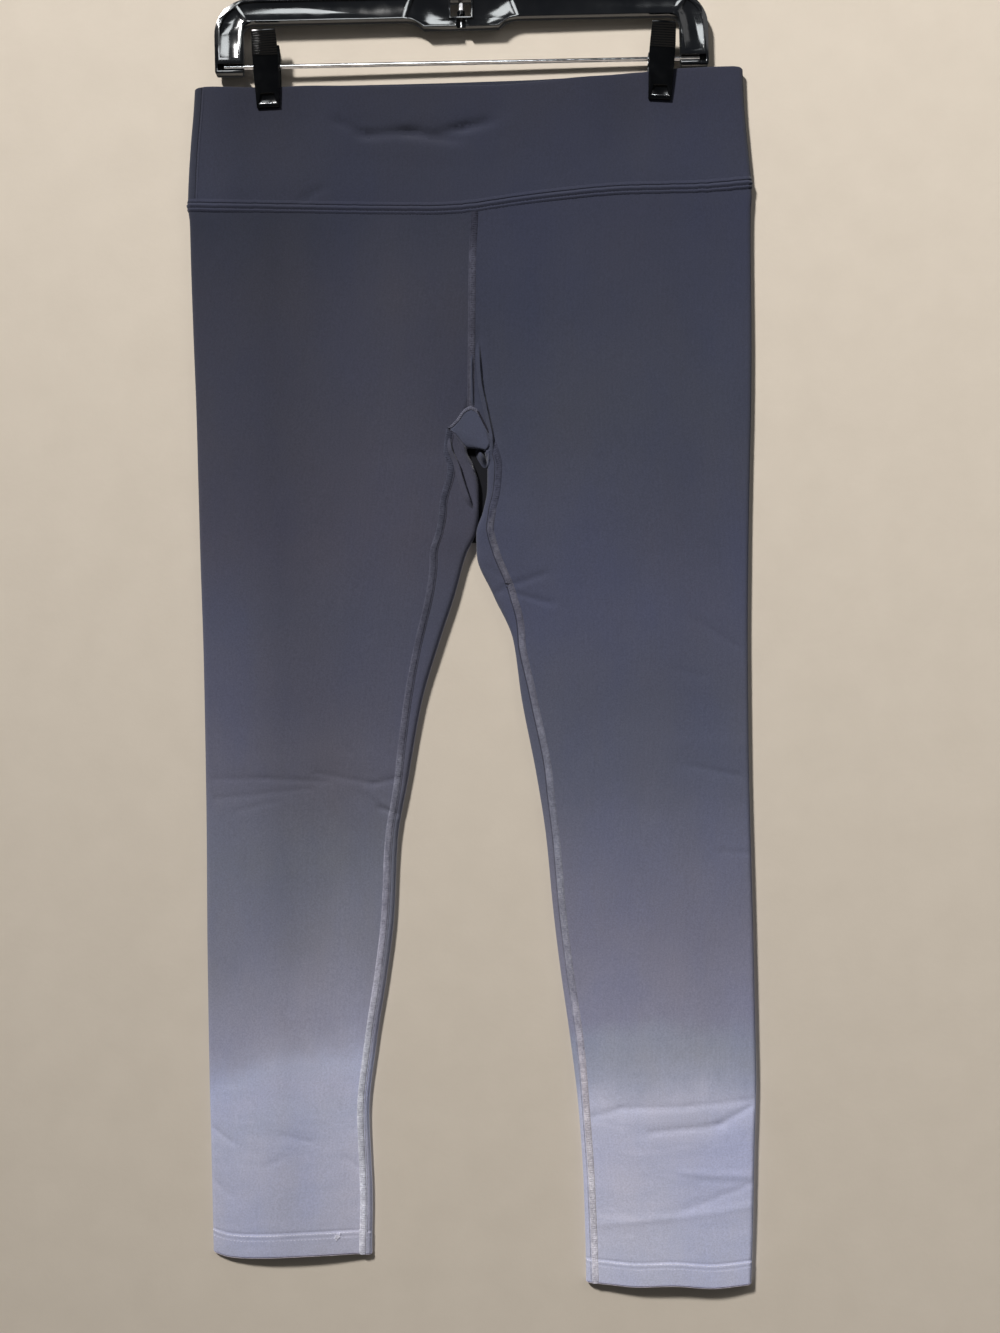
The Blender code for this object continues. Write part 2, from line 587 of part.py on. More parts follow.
def make_hanger(plastic, steel, collection, cutters):
    right = hanger_outline()
    outline = right + [(-x, z) for x, z in reversed(right)]
    body = add_object("hanger_body", prism("hanger_body", outline, HANGER_DEPTH, "XZ"), plastic, collection)

    # moulded pockets leave a rim and ribs on both faces
    beam_height = BEAM_TOP - BEAM_BOTTOM - 2 * POCKET_RIM
    beam_z = BAR_Z + (BEAM_TOP + BEAM_BOTTOM) / 2
    arm_x = HANGER_WIDTH / 2 - ARM_WIDTH / 2
    arm_width = ARM_WIDTH - 2 * POCKET_RIM
    pockets = []
    for side in (-1, 1):
        for pocket in BEAM_POCKETS:
            pockets.append(((pocket.width * MM, beam_height), (side * pocket.x * MM, beam_z)))
        pockets.append(((arm_width, ARM_POCKET_HEIGHT), (side * arm_x, BAR_Z + ARM_POCKET_Z)))
    for number, ((width, height), (x, z)) in enumerate(pockets):
        for face in (-1, 1):
            size = (width, 2 * POCKET_DEPTH, height)
            centre = (x, face * HANGER_DEPTH / 2, z)
            cut(body, box_mesh(size, centre), f"Pocket {number} {face}", cutters)

    window = box_mesh((WINDOW[0], 2 * HANGER_DEPTH, WINDOW[1]), (0, 0, BAR_Z + WINDOW_Z))
    cut(body, window, "Hook window", cutters)
    socket_height = 24 * MM
    socket_z = BAR_Z + PLATE_TOP - 9 * MM
    socket = cylinder_mesh(
        "Hook hole", HOOK_WIRE / 2 + GAP, socket_height, (0, 0, socket_z), "Z", HOOK_SIDES
    )
    cut(body, socket, "Hook hole", cutters)

    bar_length = HANGER_WIDTH - 2 * BAR_INSET
    centre = (0, 0, BAR_Z)
    seat = cylinder_mesh("Bar seats", BAR_RADIUS + GAP, bar_length + 2 * GAP, centre, "X", BAR_SIDES)
    cut(body, seat, "Bar seats", cutters)
    bar = cylinder_mesh("hanger_bar", BAR_RADIUS, bar_length, centre, "X", BAR_SIDES)
    add_object("hanger_bar", bar, steel, collection)
    make_hook(steel, collection)


def make_hook(steel, collection):
    """Bent wire: a shank up through the plate, a small bend, then round over the rail."""
    middle = HOOK_RADIUS + HOOK_WIRE / 2
    centre_z = -HOOK_RADIUS
    fall = sqrt((middle + HOOK_BEND) ** 2 - HOOK_BEND ** 2)
    lean = atan2(fall, HOOK_BEND)
    path = [(0, BAR_Z + SHANK_FOOT), (0, BAR_Z + PLATE_TOP)]
    path += arc_points((HOOK_BEND, centre_z - fall), HOOK_BEND, pi, pi - lean, 5)
    path += arc_points((0, centre_z), middle, -lean, HOOK_END, 20)[1:]
    curve = bpy.data.curves.new("hanger_hook", "CURVE")
    curve.dimensions = "3D"
    curve.bevel_depth = HOOK_WIRE / 2
    curve.bevel_resolution = 2
    curve.use_fill_caps = True
    spline = curve.splines.new("POLY")
    spline.points.add(len(path) - 1)
    for point, (x, z) in zip(spline.points, path):
        point.co = (x, 0, z, 1)
    hook = bpy.data.objects.new("hanger_hook", curve)
    curve.materials.append(steel)
    collection.objects.link(hook)


# ---------------------------------------------------------------- clips
RIDGES = 7
RIDGE_HEIGHT = 0.5            # mm
JAW_TAPER = 0.1               # how much narrower a jaw is at its ends
TAPER_START = 4 * MM          # below the bar
TAPER_END = 30 * MM
Jaw = namedtuple("Jaw", "height inner outer")
JAW_PROFILE = [               # section of one lever, in mm above the bar and out from it
    Jaw(23, 7.9, 10.3), Jaw(12.5, 5.9, 8.7), Jaw(4, 4.3, 7.4), Jaw(-3, 3.4, 6.5),
    Jaw(-8, 2.95, 6.0), Jaw(-24, 2.9, 5.4), Jaw(-31, 2.9, 4.6),
]


def grip_ridges(top, bottom):
    """The ridged outer face of a lever's thumb pad, from its top edge down."""
    points = [(-top.outer * MM, top.height * MM)]
    for i in range(1, 2 * RIDGES):
        share = i / (2 * RIDGES)
        out = top.outer + (bottom.outer - top.outer) * share + RIDGE_HEIGHT * (i % 2)
        points.append((-out * MM, (top.height + (bottom.height - top.height) * share) * MM))
    return points


def make_clip(label, x, lean, plastic, steel, collection):
    outline = grip_ridges(JAW_PROFILE[0], JAW_PROFILE[1])
    outline += [(-jaw.outer * MM, jaw.height * MM) for jaw in JAW_PROFILE[1:]]
    outline += [(-jaw.inner * MM, jaw.height * MM) for jaw in reversed(JAW_PROFILE)]
    place = Matrix.Translation((x, 0, BAR_Z)) @ Matrix.Rotation(-lean, 4, "Y")
    for name, face in (("front", 1), ("back", -1)):
        mesh = prism("Jaw", outline, CLIP_WIDTH, "YZ")
        bm = bmesh.new()
        bm.from_mesh(mesh)
        for vert in bm.verts:
            vert.co.x *= 1 - JAW_TAPER * smooth(TAPER_START, TAPER_END, abs(vert.co.z))
            vert.co.y *= face
            vert.co = place @ vert.co
        if face < 0:
            bmesh.ops.reverse_faces(bm, faces=bm.faces)
        bm.to_mesh(mesh)
        bm.free()
        mesh.name = f"clip_{label}_{name}"
        add_object(f"clip_{label}_{name}", mesh, plastic, collection)
    make_spring(label, x, steel, collection)


def make_spring(label, x, steel, collection):
    """A coiled spring round the bar, as a short sleeve."""
    mesh = bpy.data.meshes.new(f"clip_{label}_spring")
    bm = bmesh.new()
    half = SPRING_LENGTH / 2
    inner, outer = BAR_RADIUS + GAP, BAR_RADIUS + GAP + SPRING_WIRE
    profile = [(outer, half), (outer, -half), (inner, -half), (inner, half)]
    verts = [bm.verts.new((radius, 0, height)) for radius, height in profile]
    for a, b in zip(verts, verts[1:] + verts[:1]):
        bm.edges.new((a, b))
    bm.to_mesh(mesh)
    bm.free()
    spring = add_object(f"clip_{label}_spring", mesh, steel, collection)
    spring.location = (x, 0, BAR_Z)
    spring.rotation_euler = (0, pi / 2, 0)
    turned = spring.modifiers.new("Turn", "SCREW")
    turned.steps = 16
    turned.render_steps = 16
    turned.use_merge_vertices = True
    turned.merge_threshold = 0.00005


# ---------------------------------------------------------------- the object
def main():
    for old in list(bpy.data.objects):
        bpy.data.objects.remove(old)
    parts = bpy.data.collections.new("Leggings on a clip hanger")
    cutters = bpy.data.collections.new("Cutters")
    for collection in (parts, cutters):
        bpy.context.scene.collection.children.link(collection)

    dark_knit = material("Slate knit", (0.047, 0.050, 0.078), 0.9)
    dipped_knit = material("Dip dyed knit", (0.120, 0.122, 0.160), 0.9)
    black_plastic = material("Black plastic", (0.006, 0.007, 0.009), 0.22)
    bright_steel = material("Bright steel", (0.62, 0.62, 0.64), 0.2, 1.0)

    make_waistband(dark_knit, parts)
    for side in ("left", "right"):
        rows = leg_rows(side)
        if side == "left":
            rows = [row[::-1] for row in rows]
        cloth_wall(f"leg_{side}", rows, CLOTH, dipped_knit, parts)
    cloth_wall("gusset", gusset_rows(), CLOTH, dark_knit, parts)

    make_hanger(black_plastic, bright_steel, parts, cutters)
    for label, x, lean in zip(("left", "right"), CLIP_X, CLIP_LEAN):
        make_clip(label, x, lean, black_plastic, bright_steel, parts)


main()
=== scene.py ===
"""High rise dip dyed leggings on a clip hanger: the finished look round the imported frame.

Metres, +Z up, the origin under the top of the hanger's hook.  The garment's own sizes are in
millimetres: x from the hook's line, drop down from the clip bar.  Its front faces -Y.
"""
from collections import namedtuple
from math import acos, cos, exp, hypot, pi, radians, sin, sqrt

import bmesh
import bpy
import numpy as np
from mathutils import Matrix, Vector, noise


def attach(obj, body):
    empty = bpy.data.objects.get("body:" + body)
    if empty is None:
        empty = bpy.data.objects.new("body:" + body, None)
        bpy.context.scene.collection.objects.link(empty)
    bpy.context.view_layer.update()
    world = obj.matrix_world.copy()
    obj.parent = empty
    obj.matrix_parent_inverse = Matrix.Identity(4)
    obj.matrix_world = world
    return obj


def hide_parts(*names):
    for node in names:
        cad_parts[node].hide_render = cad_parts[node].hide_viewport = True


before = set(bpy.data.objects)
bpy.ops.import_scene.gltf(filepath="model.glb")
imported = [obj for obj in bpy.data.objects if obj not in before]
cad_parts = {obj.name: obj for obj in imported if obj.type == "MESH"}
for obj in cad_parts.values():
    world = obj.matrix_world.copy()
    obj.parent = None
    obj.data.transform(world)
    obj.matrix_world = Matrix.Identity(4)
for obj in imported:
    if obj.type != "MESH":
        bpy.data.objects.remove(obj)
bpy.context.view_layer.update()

MM = 0.001

# ---------------------------------------------------------------- driving sizes
GAP = 0.3 * MM                # between pieces that touch
GUSSET_GAP = 0.5 * MM
BAR_Z = -150 * MM             # axis of the clip bar below the hook's bearing point

JERSEY = 1.1 * MM             # one layer of knit
BAND_LAYER = 1.0 * MM         # the waistband is one layer folded over
BAND_INSET = 1.3              # its inside layer lies this far in from the outside one, in mm
LEG_FOLD = 3.0                # radius where a leg folds over at its sides, in mm
BAND_FOLD = 3.4               # radius where the waistband folds over at its sides, in mm
CLAMPED = 2.6                 # half thickness of the waistband under a clip, in mm
HANG_TURN = radians(1.0)      # how far the garment has turned about Z at its hems
TURN_START = 30
TURN_LENGTH = 850
CLIP_WIDTH = 18.4
CLIP_X = {"left": -141.0, "right": 144.0}

# ---------------------------------------------------------------- garment tables, in mm
Edge = namedtuple("Edge", "drop left right")
SIDES = [                     # the folded outer edges of the garment
    Edge(12, -193.2, 202.8), Edge(30, -194.6, 203.2), Edge(59, -197.6, 205.0),
    Edge(85, -199.6, 207.0), Edge(101, -200.3, 207.6), Edge(112, -199.2, 206.6),
    Edge(145, -199.0, 205.9), Edge(203, -198.2, 205.2), Edge(250, -197.4, 203.9),
    Edge(290, -197.2, 202.2), Edge(350, -196.9, 199.8), Edge(430, -196.1, 197.5),
    Edge(530, -196.5, 196.5), Edge(645, -198.1, 197.0), Edge(730, -198.5, 196.9),
    Edge(790, -198.3, 194.4), Edge(845, -198.2, 192.2), Edge(890, -197.4, 189.7),
]
Centre = namedtuple("Centre", "drop x")
CENTRE = [                    # the centre front and centre back seams
    Centre(80, 6.6), Centre(110, 6.3), Centre(140, 4.3), Centre(193, 2.5), Centre(250, 0.7),
]
INNER = [                     # each leg's inner fold, from the crotch down
    Edge(250, 0.7, 0.7), Edge(281, -2.0, 10.0), Edge(292, 2.6, 12.2), Edge(308, 5.8, 11.8),
    Edge(325, 5.4, 8.2), Edge(341, 2.6, 3.0), Edge(356, -4.6, 3.2), Edge(385, -13.4, 14.4),
    Edge(418, -25.0, 28.2), Edge(460, -38.4, 33.4), Edge(518, -50.0, 43.4),
    Edge(560, -58.2, 49.0), Edge(615, -62.0, 53.2), Edge(655, -67.6, 57.2),
    Edge(706, -76.6, 63.4), Edge(760, -83.2, 68.6), Edge(815, -82.0, 71.0),
    Edge(862, -83.2, 71.4), Edge(890, -83.2, 71.2),
]
Wrap = namedtuple("Wrap", "drop left right")
INSEAM = [                    # how far the inseam lies in from the inner fold, on the front
    Wrap(250, 12.5, 8.5), Wrap(285, 15.5, 8.5), Wrap(320, 26.0, 7.0), Wrap(343, 26.5, 11.6),
    Wrap(367, 20.5, 16.6), Wrap(394, 17.4, 13.0), Wrap(424, 14.6, 6.0), Wrap(460, 10.6, 9.0),
    Wrap(500, 8.4, 9.8), Wrap(540, 6.6, 7.8), Wrap(610, 6.6, 7.0), Wrap(700, 6.2, 7.2),
    Wrap(765, 5.9, 5.6), Wrap(890, 6.6, 6.6),
]
Depth = namedtuple("Depth", "drop hips leg")
DEPTHS = [                    # thickness front to back at the middle of hips and leg
    Depth(10, 12.0, 12.0), Depth(50, 14.6, 14.0), Depth(103, 16.0, 16.0),
    Depth(180, 20.0, 19.0), Depth(260, 19.0, 21.0), Depth(350, 16.0, 21.0),
    Depth(500, 14.0, 18.0), Depth(620, 14.0, 18.5), Depth(740, 14.0, 16.0), Depth(890, 14.0, 15.0),
]
Top = namedtuple("Top", "x front back")
TOP_EDGE = [                  # the waistband's folded top, its front sagging between the clips
    Top(-200, 17.0, 17.0), Top(-192, 15.0, 14.8), Top(-186, 14.5, 14.2), Top(-150, 15.4, 14.2),
    Top(-111, 15.6, 12.7), Top(-88, 17.2, 12.4), Top(-34, 18.4, 12.1), Top(20, 19.0, 11.5),
    Top(52, 17.2, 11.1), Top(76, 14.8, 10.4), Top(106, 12.7, 9.4), Top(130, 10.4, 8.6),
    Top(155, 8.2, 7.8), Top(197, 7.7, 7.6), Top(202, 8.4, 8.4), Top(208, 12.0, 12.0),
]
Line = namedtuple("Line", "x drop")
WAIST_SEAM = [
    Line(-201, 99.4), Line(-148, 102.2), Line(-96, 104.8), Line(-47, 106.8), Line(-18, 107.4),
    Line(5, 106.3), Line(18, 104.6), Line(32, 102.8), Line(55, 100.0), Line(114, 95.3),
    Line(163, 94.6), Line(208, 91.2),
]
LEFT_HEM = [
    Line(-197, 856.2), Line(-186, 859.0), Line(-173, 859.7), Line(-128, 858.5), Line(-96, 858.3),
    Line(-83, 859.8),
]
RIGHT_HEM = [
    Line(71, 881.4), Line(88, 882.5), Line(108, 883.9), Line(132, 883.3), Line(164, 885.8),
    Line(189, 884.8),
]

Span = namedtuple("Span", "start end")
PINCH_BESIDE = Span(1.5, 48)  # beside a clip, where its pinch begins to fade and is gone
PINCH_BELOW = Span(33, 92)    # the same in drop
TO_LEGS = Span(150, 275)      # drops over which the hips' section becomes the legs' two
PARTING = Span(256, 280)      # drops over which the legs' inner edges become folds

# Creases and rolls in the hanging cloth: from one end to the other, how wide, and how high
# (a trough is negative).  face is -1 on the front and +1 on the back.
FOLD_SHARE = 0.22             # how much of each wide fold the thin cloth keeps
FOLD_END = 2.0                # a fold's ends fade over this many of its widths
FOLD_FAR = 5.0                # this many widths beside its middle it no longer counts,
FOLD_RUN = 20                 # and half of its own run down the cloth, in mm
Fold = namedtuple("Fold", "face x0 drop0 x1 drop1 width height")
FOLDS = [
    Fold(-1, -84, 42, -26, 51, 6, -1.3), Fold(-1, -26, 51, 22, 39, 6, -1.5),
    Fold(-1, -70, 62, 10, 66, 9, 0.9),
    Fold(+1, -60, 46, 50, 50, 7, -1.2),
    Fold(-1, -192, 514, -106, 516, 7, -1.3), Fold(-1, -110, 509, -56, 519, 6, -1.5),
    Fold(-1, -192, 528, -118, 522, 6, -1.0), Fold(-1, -84, 526, -56, 542, 6, -1.4),
    Fold(+1, -180, 506, -70, 518, 8, -1.6), Fold(+1, -170, 530, -90, 524, 7, -1.2),
    Fold(-1, 158, 406, 196, 429, 6, -1.2), Fold(-1, 150, 494, 196, 497, 6, 1.0),
    Fold(-1, 150, 510, 190, 520, 6, -1.2), Fold(-1, 84, 540, 130, 541, 8, -0.8),
    Fold(+1, 70, 512, 170, 520, 8, -1.5), Fold(+1, 90, 538, 180, 530, 7, -1.0),
    Fold(-1, -200, 764, -176, 780, 6, -1.3), Fold(-1, -104, 750, -88, 774, 6, -1.2),
    Fold(-1, -150, 773, -122, 778, 7, -0.9), Fold(-1, -200, 802, -180, 817, 6, -0.9),
    Fold(+1, -190, 770, -100, 782, 8, -1.4),
    Fold(-1, 74, 762, 110, 755, 6, -1.3), Fold(-1, 110, 755, 194, 752, 6, -1.4),
    Fold(-1, 116, 773, 168, 770, 6, -1.5), Fold(-1, 168, 769, 194, 757, 6, -1.6),
    Fold(-1, 150, 805, 192, 810, 7, 1.3), Fold(-1, 190, 814, 136, 831, 6, -1.0),
    Fold(-1, 82, 838, 192, 830, 6, 1.2),
    Fold(+1, 84, 770, 186, 764, 8, -1.6), Fold(+1, 90, 822, 180, 830, 8, -1.0),
]
FINE_FOLDS = [                # narrow creases that the solids leave out
    # the middle of the waistband, and one above its seam
    Fold(-1, -88, 44, -70, 53, 3.0, -1.1), Fold(-1, -70, 53, -39, 52, 3.4, -1.8),
    Fold(-1, -39, 52, -10, 57.5, 3.4, -2.0), Fold(-1, -14, 52, 0, 49.5, 3.0, -1.6),
    Fold(-1, 0, 49.5, 14, 46.5, 3.4, -2.0), Fold(-1, -115, 98, -104, 92, 2.2, -0.8),
    # the left knee
    Fold(-1, -188, 514, -153, 514, 1.63, -0.36), Fold(-1, -153, 514, -106, 517, 1.48, -0.51),
    Fold(-1, -114, 511, -74, 519.4, 1.63, -0.57), Fold(-1, -74, 519.4, -58, 516.4, 1.63, -0.65),
    Fold(-1, -188, 528, -120, 522, 1.48, -0.36), Fold(-1, -79, 524, -64, 536, 1.63, 0.43),
    Fold(-1, -69, 537.5, -53, 544, 1.63, -1), Fold(-1, -173, 537, -145, 531, 1.63, -0.36),
    # the left calf and hem
    Fold(-1, -103, 664, -91, 667, 1.48, -0.29), Fold(-1, -198, 765, -183, 776, 1.63, -0.57),
    Fold(-1, -102, 752, -91, 771, 1.48, -0.43), Fold(-1, -144, 771, -126, 776, 1.78, -0.36),
    Fold(-1, -100, 789, -90, 797, 1.63, -0.43), Fold(-1, -157, 793, -146, 788, 1.78, -0.29),
    Fold(-1, -198, 802, -185, 815, 1.78, -0.43),
    # the right thigh and knee
    Fold(-1, 162, 408, 190, 427, 1.63, -0.43), Fold(-1, 144, 442, 164, 447, 1.78, -0.29),
    Fold(-1, 154, 511, 188, 519, 1.63, -0.43), Fold(-1, 175, 573, 196, 575, 1.63, -0.36),
    # the right calf and hem
    Fold(-1, 79, 762, 99, 756, 1.63, -0.51), Fold(-1, 99, 756, 148, 755, 1.63, -0.51),
    Fold(-1, 148, 755, 192, 752, 1.63, -0.43), Fold(-1, 121, 773, 170, 769, 1.63, -0.65),
    Fold(-1, 170, 768, 192, 757, 1.63, -0.65), Fold(-1, 142, 802, 190, 806, 1.63, 0.36),
    Fold(-1, 153, 808, 191, 812, 1.48, -0.36), Fold(-1, 190, 813, 139, 830, 1.63, -0.36),
    Fold(-1, 84, 839, 130, 834, 1.78, 0.36), Fold(-1, 130, 835, 190, 828, 1.78, 0.36),
    # behind
    Fold(+1, -170, 512, -96, 516, 1.78, -0.51), Fold(+1, -150, 529, -90, 524, 1.63, -0.43),
    Fold(+1, 84, 514, 150, 520, 1.78, -0.51), Fold(+1, 110, 537, 176, 531, 1.63, -0.36),
    Fold(+1, -184, 771, -120, 780, 1.78, -0.51), Fold(+1, 92, 770, 176, 765, 1.78, -0.57),
    Fold(+1, -60, 46, 50, 50, 2.6, -0.5), Fold(+1, 100, 824, 170, 829, 1.78, -0.29),
    # beside the centre seam, the crotch and the right inseam
    Fold(-1, 7.6, 200, 9.4, 226, 2.6, -0.8), Fold(-1, 10.6, 236, 13.0, 249, 2.6, -0.9),
    Fold(-1, 14.4, 256, 16.6, 268, 2.4, -0.9), Fold(-1, 17.2, 276, 15.6, 288, 2.4, -0.7),
    Fold(-1, -6.5, 292, 1.0, 316, 2.4, -0.9), Fold(-1, 27, 379, 50, 372, 2.2, -0.7),
    Fold(-1, 28, 384, 54, 392, 2.2, -0.8), Fold(-1, 13, 367, 20, 372, 2.0, -0.5),
    Fold(-1, 14, 386, 22, 381, 2.0, -0.6),
]
Drift = namedtuple("Drift", "across down seed height")
SLACK = [                     # slight unevenness of hanging jersey: how wide and long its waves are
    Drift(70, 110, 3.7, 0.55), Drift(24, 40, 9.1, 0.16),
]
HEM_LEVEL = {"left": 859, "right": 884}
HEM_TURNED = 17.0             # depth of the turned up hem, in mm
HEM_RELIEF = 0.5              # how far its double layer stands out, in mm
HEM_STEP = Span(-1.2, 0.6)    # its inside edge shows over this height, above and below HEM_TURNED
HEM_ROLL = Span(0.0, 1.4)     # its lower edge rolls in over this height
HEM_ROLL_DEPTH = 0.35
Groove = namedtuple("Groove", "down depth")
HEM_GROOVES = [Groove(0.0, 0.45), Groove(3.4, 0.2)]   # where its two rows of stitches pull in
GROOVE_WIDTH = 0.9


# ---------------------------------------------------------------- reading the tables
def track(rows, key, value):
    """A smooth curve through two columns of a table, without overshoot."""
    xs = np.array([getattr(row, key) for row in rows], dtype=float)
    ys = np.array([getattr(row, value) for row in rows], dtype=float)
    steps = np.diff(xs)
    slopes = np.diff(ys) / steps
    tangents = np.zeros(len(xs))
    tangents[0], tangents[-1] = slopes[0], slopes[-1]
    for i in range(1, len(xs) - 1):
        if slopes[i - 1] * slopes[i] > 0:
            tangents[i] = 2 * slopes[i - 1] * slopes[i] / (slopes[i - 1] + slopes[i])
    knots, values, slants = xs.tolist(), ys.tolist(), tangents.tolist()

    def read(x):
        x = min(max(x, knots[0]), knots[-1])
        i = 0
        while i < len(knots) - 2 and x >= knots[i + 1]:
            i += 1
        step = knots[i + 1] - knots[i]
        t = (x - knots[i]) / step
        return (
            values[i] * (1 + 2 * t) * (1 - t) ** 2
            + values[i + 1] * t * t * (3 - 2 * t)
            + step * (slants[i] * t * (1 - t) ** 2 - slants[i + 1] * t * t * (1 - t))
        )

    return read


OUTER_X = {side: track(SIDES, "drop", side) for side in ("left", "right")}
CENTRE_X = track(CENTRE, "drop", "x")
FOLD_X = {side: track(INNER, "drop", side) for side in ("left", "right")}
SEAM_WRAP = {side: track(INSEAM, "drop", side) for side in ("left", "right")}
HIP_DEPTH = track(DEPTHS, "drop", "hips")
LEG_DEPTH = track(DEPTHS, "drop", "leg")
TOP = {-1: track(TOP_EDGE, "x", "front"), 1: track(TOP_EDGE, "x", "back")}
waist_seam = track(WAIST_SEAM, "x", "drop")
HEM = {"left": track(LEFT_HEM, "x", "drop"), "right": track(RIGHT_HEM, "x", "drop")}
SEAM_LEVEL = 100.0            # mean drop of the waist seam
SEAM_FADE = 240               # rings above this drop follow the waist seam's slant
CROTCH_DROP = 250.0
SLIT = 0.5 * GAP / MM         # each side's share of the gap at a seam, in mm


def inner_x(side, drop):
    """The seam between the legs, or below the crotch the leg's own inner fold."""
    return CENTRE_X(drop) if drop < CROTCH_DROP else FOLD_X[side](drop)


def smooth(low, high, value):
    t = min(max((value - low) / (high - low), 0.0), 1.0)
    return t * t * (3 - 2 * t)


def rounding(distance, radius):
    """Share of the full half depth left this near to a folded edge."""
    reach = 1 - min(max(distance, 0.0), radius) / radius
    return sqrt(max(0.0, 1 - reach * reach))


# ---------------------------------------------------------------- the hanging form
def relief_of(folds, face, x, drop):
    total = 0.0
    for fold in folds:
        if fold.face != face:
            continue
        if abs(drop - 0.5 * (fold.drop0 + fold.drop1)) > FOLD_FAR * fold.width + FOLD_RUN:
            continue
        run_x = fold.x1 - fold.x0
        run_drop = fold.drop1 - fold.drop0
        run = hypot(run_x, run_drop)
        along = ((x - fold.x0) * run_x + (drop - fold.drop0) * run_drop) / run
        across = ((x - fold.x0) * run_drop - (drop - fold.drop0) * run_x) / run
        past = max(-along, along - run, 0.0)
        total += fold.height * exp(-(across / fold.width) ** 2 - (past / (FOLD_END * fold.width)) ** 2)
    return total


def creases(face, x, drop):
    return FOLD_SHARE * relief_of(FOLDS, face, x, drop) + relief_of(FINE_FOLDS, face, x, drop)


def slack(face, x, drop):
    """How far the hanging jersey stands out or in by itself, in mm."""
    return sum(
        row.height * noise.noise(Vector((x / row.across, drop / row.down, row.seed * face)))
        for row in SLACK
    )


def clip_hold(x, drop):
    """1 where a clip pinches the band flat, falling to 0 away from it."""
    hold = 0.0
    for centre in CLIP_X.values():
        beside = abs(x - centre) - 0.5 * CLIP_WIDTH
        hold = max(hold, 1 - smooth(PINCH_BESIDE.start, PINCH_BESIDE.end, beside))
    return hold * (1 - smooth(PINCH_BELOW.start, PINCH_BELOW.end, drop))


def half_depth(side, x, drop, fold_radius, inset=0.0):
    """Half the thickness of the hanging garment, before its creases, in mm."""
    left, right = OUTER_X["left"](drop), OUTER_X["right"](drop)
    across = (2 * x - left - right) / (right - left)
    hips = fold_radius + (HIP_DEPTH(drop) / 2 - fold_radius) * max(0.0, 1 - across * across)
    inner, outer = inner_x(side, drop), OUTER_X[side](drop)
    across = (2 * x - inner - outer) / (outer - inner)
    leg = fold_radius + (LEG_DEPTH(drop) / 2 - fold_radius) * max(0.0, 1 - across * across)
    legs = smooth(TO_LEGS.start, TO_LEGS.end, drop)
    parted = smooth(PARTING.start, PARTING.end, drop)
    inner_edge = 1 - parted + parted * rounding(abs(x - inner), fold_radius)
    depth = (hips * (1 - legs) + leg * legs) * inner_edge
    held = clip_hold(x, drop)
    depth = depth * (1 - held) + min(depth, CLAMPED) * held
    edge = max(0.0, abs(outer - x) - inset)
    return (depth - inset) * rounding(edge, fold_radius - inset)


def hung(x, y, drop):
    """From the garment's own flat frame, in mm, to where it hangs."""
    turn = HANG_TURN * smooth(TURN_START, TURN_START + TURN_LENGTH, drop)
    return Vector((
        (x * cos(turn) + y * sin(turn)) * MM,
        (y * cos(turn) - x * sin(turn)) * MM,
        BAR_Z - drop * MM,
    ))


def leg_x(side, angle, drop):
    inner, outer = inner_x(side, drop), OUTER_X[side](drop)
    return inner + (outer - inner) * (1 - cos(angle)) / 2


def leg_angle(side, distance, drop):
    """The ring angle that lies this far from the leg's inner edge."""
    width = abs(OUTER_X[side](drop) - inner_x(side, drop))
    return acos(1 - 2 * distance / width)


def face_of(angle):
    return -1 if 0 <= angle % (2 * pi) <= pi else 1


def hem_relief(side, x, drop):
    """The turned up hem stands out a little, with a groove where its stitches pull in."""
    above = HEM[side](x) - drop
    if above > HEM_TURNED + 9 * GROOVE_WIDTH:
        return 0.0
    relief = HEM_RELIEF * (1 - smooth(HEM_TURNED + HEM_STEP.start, HEM_TURNED + HEM_STEP.end, above))
    for groove in HEM_GROOVES:
        relief -= groove.depth * exp(-((above - HEM_TURNED + groove.down) / GROOVE_WIDTH) ** 2)
    return relief - HEM_ROLL_DEPTH * (1 - smooth(HEM_ROLL.start, HEM_ROLL.end, above))


def leg_point(side, angle, drop, lift=0.0):
    """A point of the leg's outer surface: 0 is the inner fold, then front, outer fold, back."""
    x = leg_x(side, angle, drop)
    face = face_of(angle)
    depth = half_depth(side, x, drop, LEG_FOLD)
    relief = (creases(face, x, drop) + slack(face, x, drop)) * smooth(1.0, LEG_FOLD + 1, depth)
    relief += hem_relief(side, x, drop) * smooth(0.0, 0.5 * LEG_FOLD, depth)
    return hung(x, face * (depth + relief + lift), drop)


# ---------------------------------------------------------------- rings of the legs
SAG_SPREAD = 0.36             # how far round from the inner fold the cloth sags, in radians
Arch = namedtuple("Arch", "share left right")
CROTCH_ARCH = [               # drop of the gusset's seam on its way from back tip to corner
    Arch(0.0, 256, 256), Arch(0.25, 269, 269), Arch(0.5, 279, 280), Arch(0.75, 274.5, 281),
    Arch(1.0, 266, 276),
]
ARCH = {side: track(CROTCH_ARCH, "share", side) for side in ("left", "right")}
TIP_LEVEL = 253.0             # drop of the gusset's front and back tips
TIP_WIDTH = 4.6               # from the centre line to the end of each tip
CORNER_LEVEL = {"left": 260.0, "right": 269.0}
CROTCH_ROWS = 15
FRONT_COLUMNS = 66            # across one face of a leg
BACK_COLUMNS = 56
CLOSER = 0.26                 # how much closer the front's columns lie at the inner fold
EDGE_STRIP = 1.0              # width of the narrow strip of cloth beside each seam
TIP_BLEND = Span(18, 1.5)     # above the tips, columns make way for them from and to here
SLIT_AT_TIP = 0.3             # share of the gap that is left beside the gusset
HEM_FADE = 50                 # rings this near to the hem follow its slant
SAG_FADE = Span(-20, 340)     # from the gusset's corner, and the drop where rings no longer sag
Ring = namedtuple("Ring", "level first last sag front_sag")


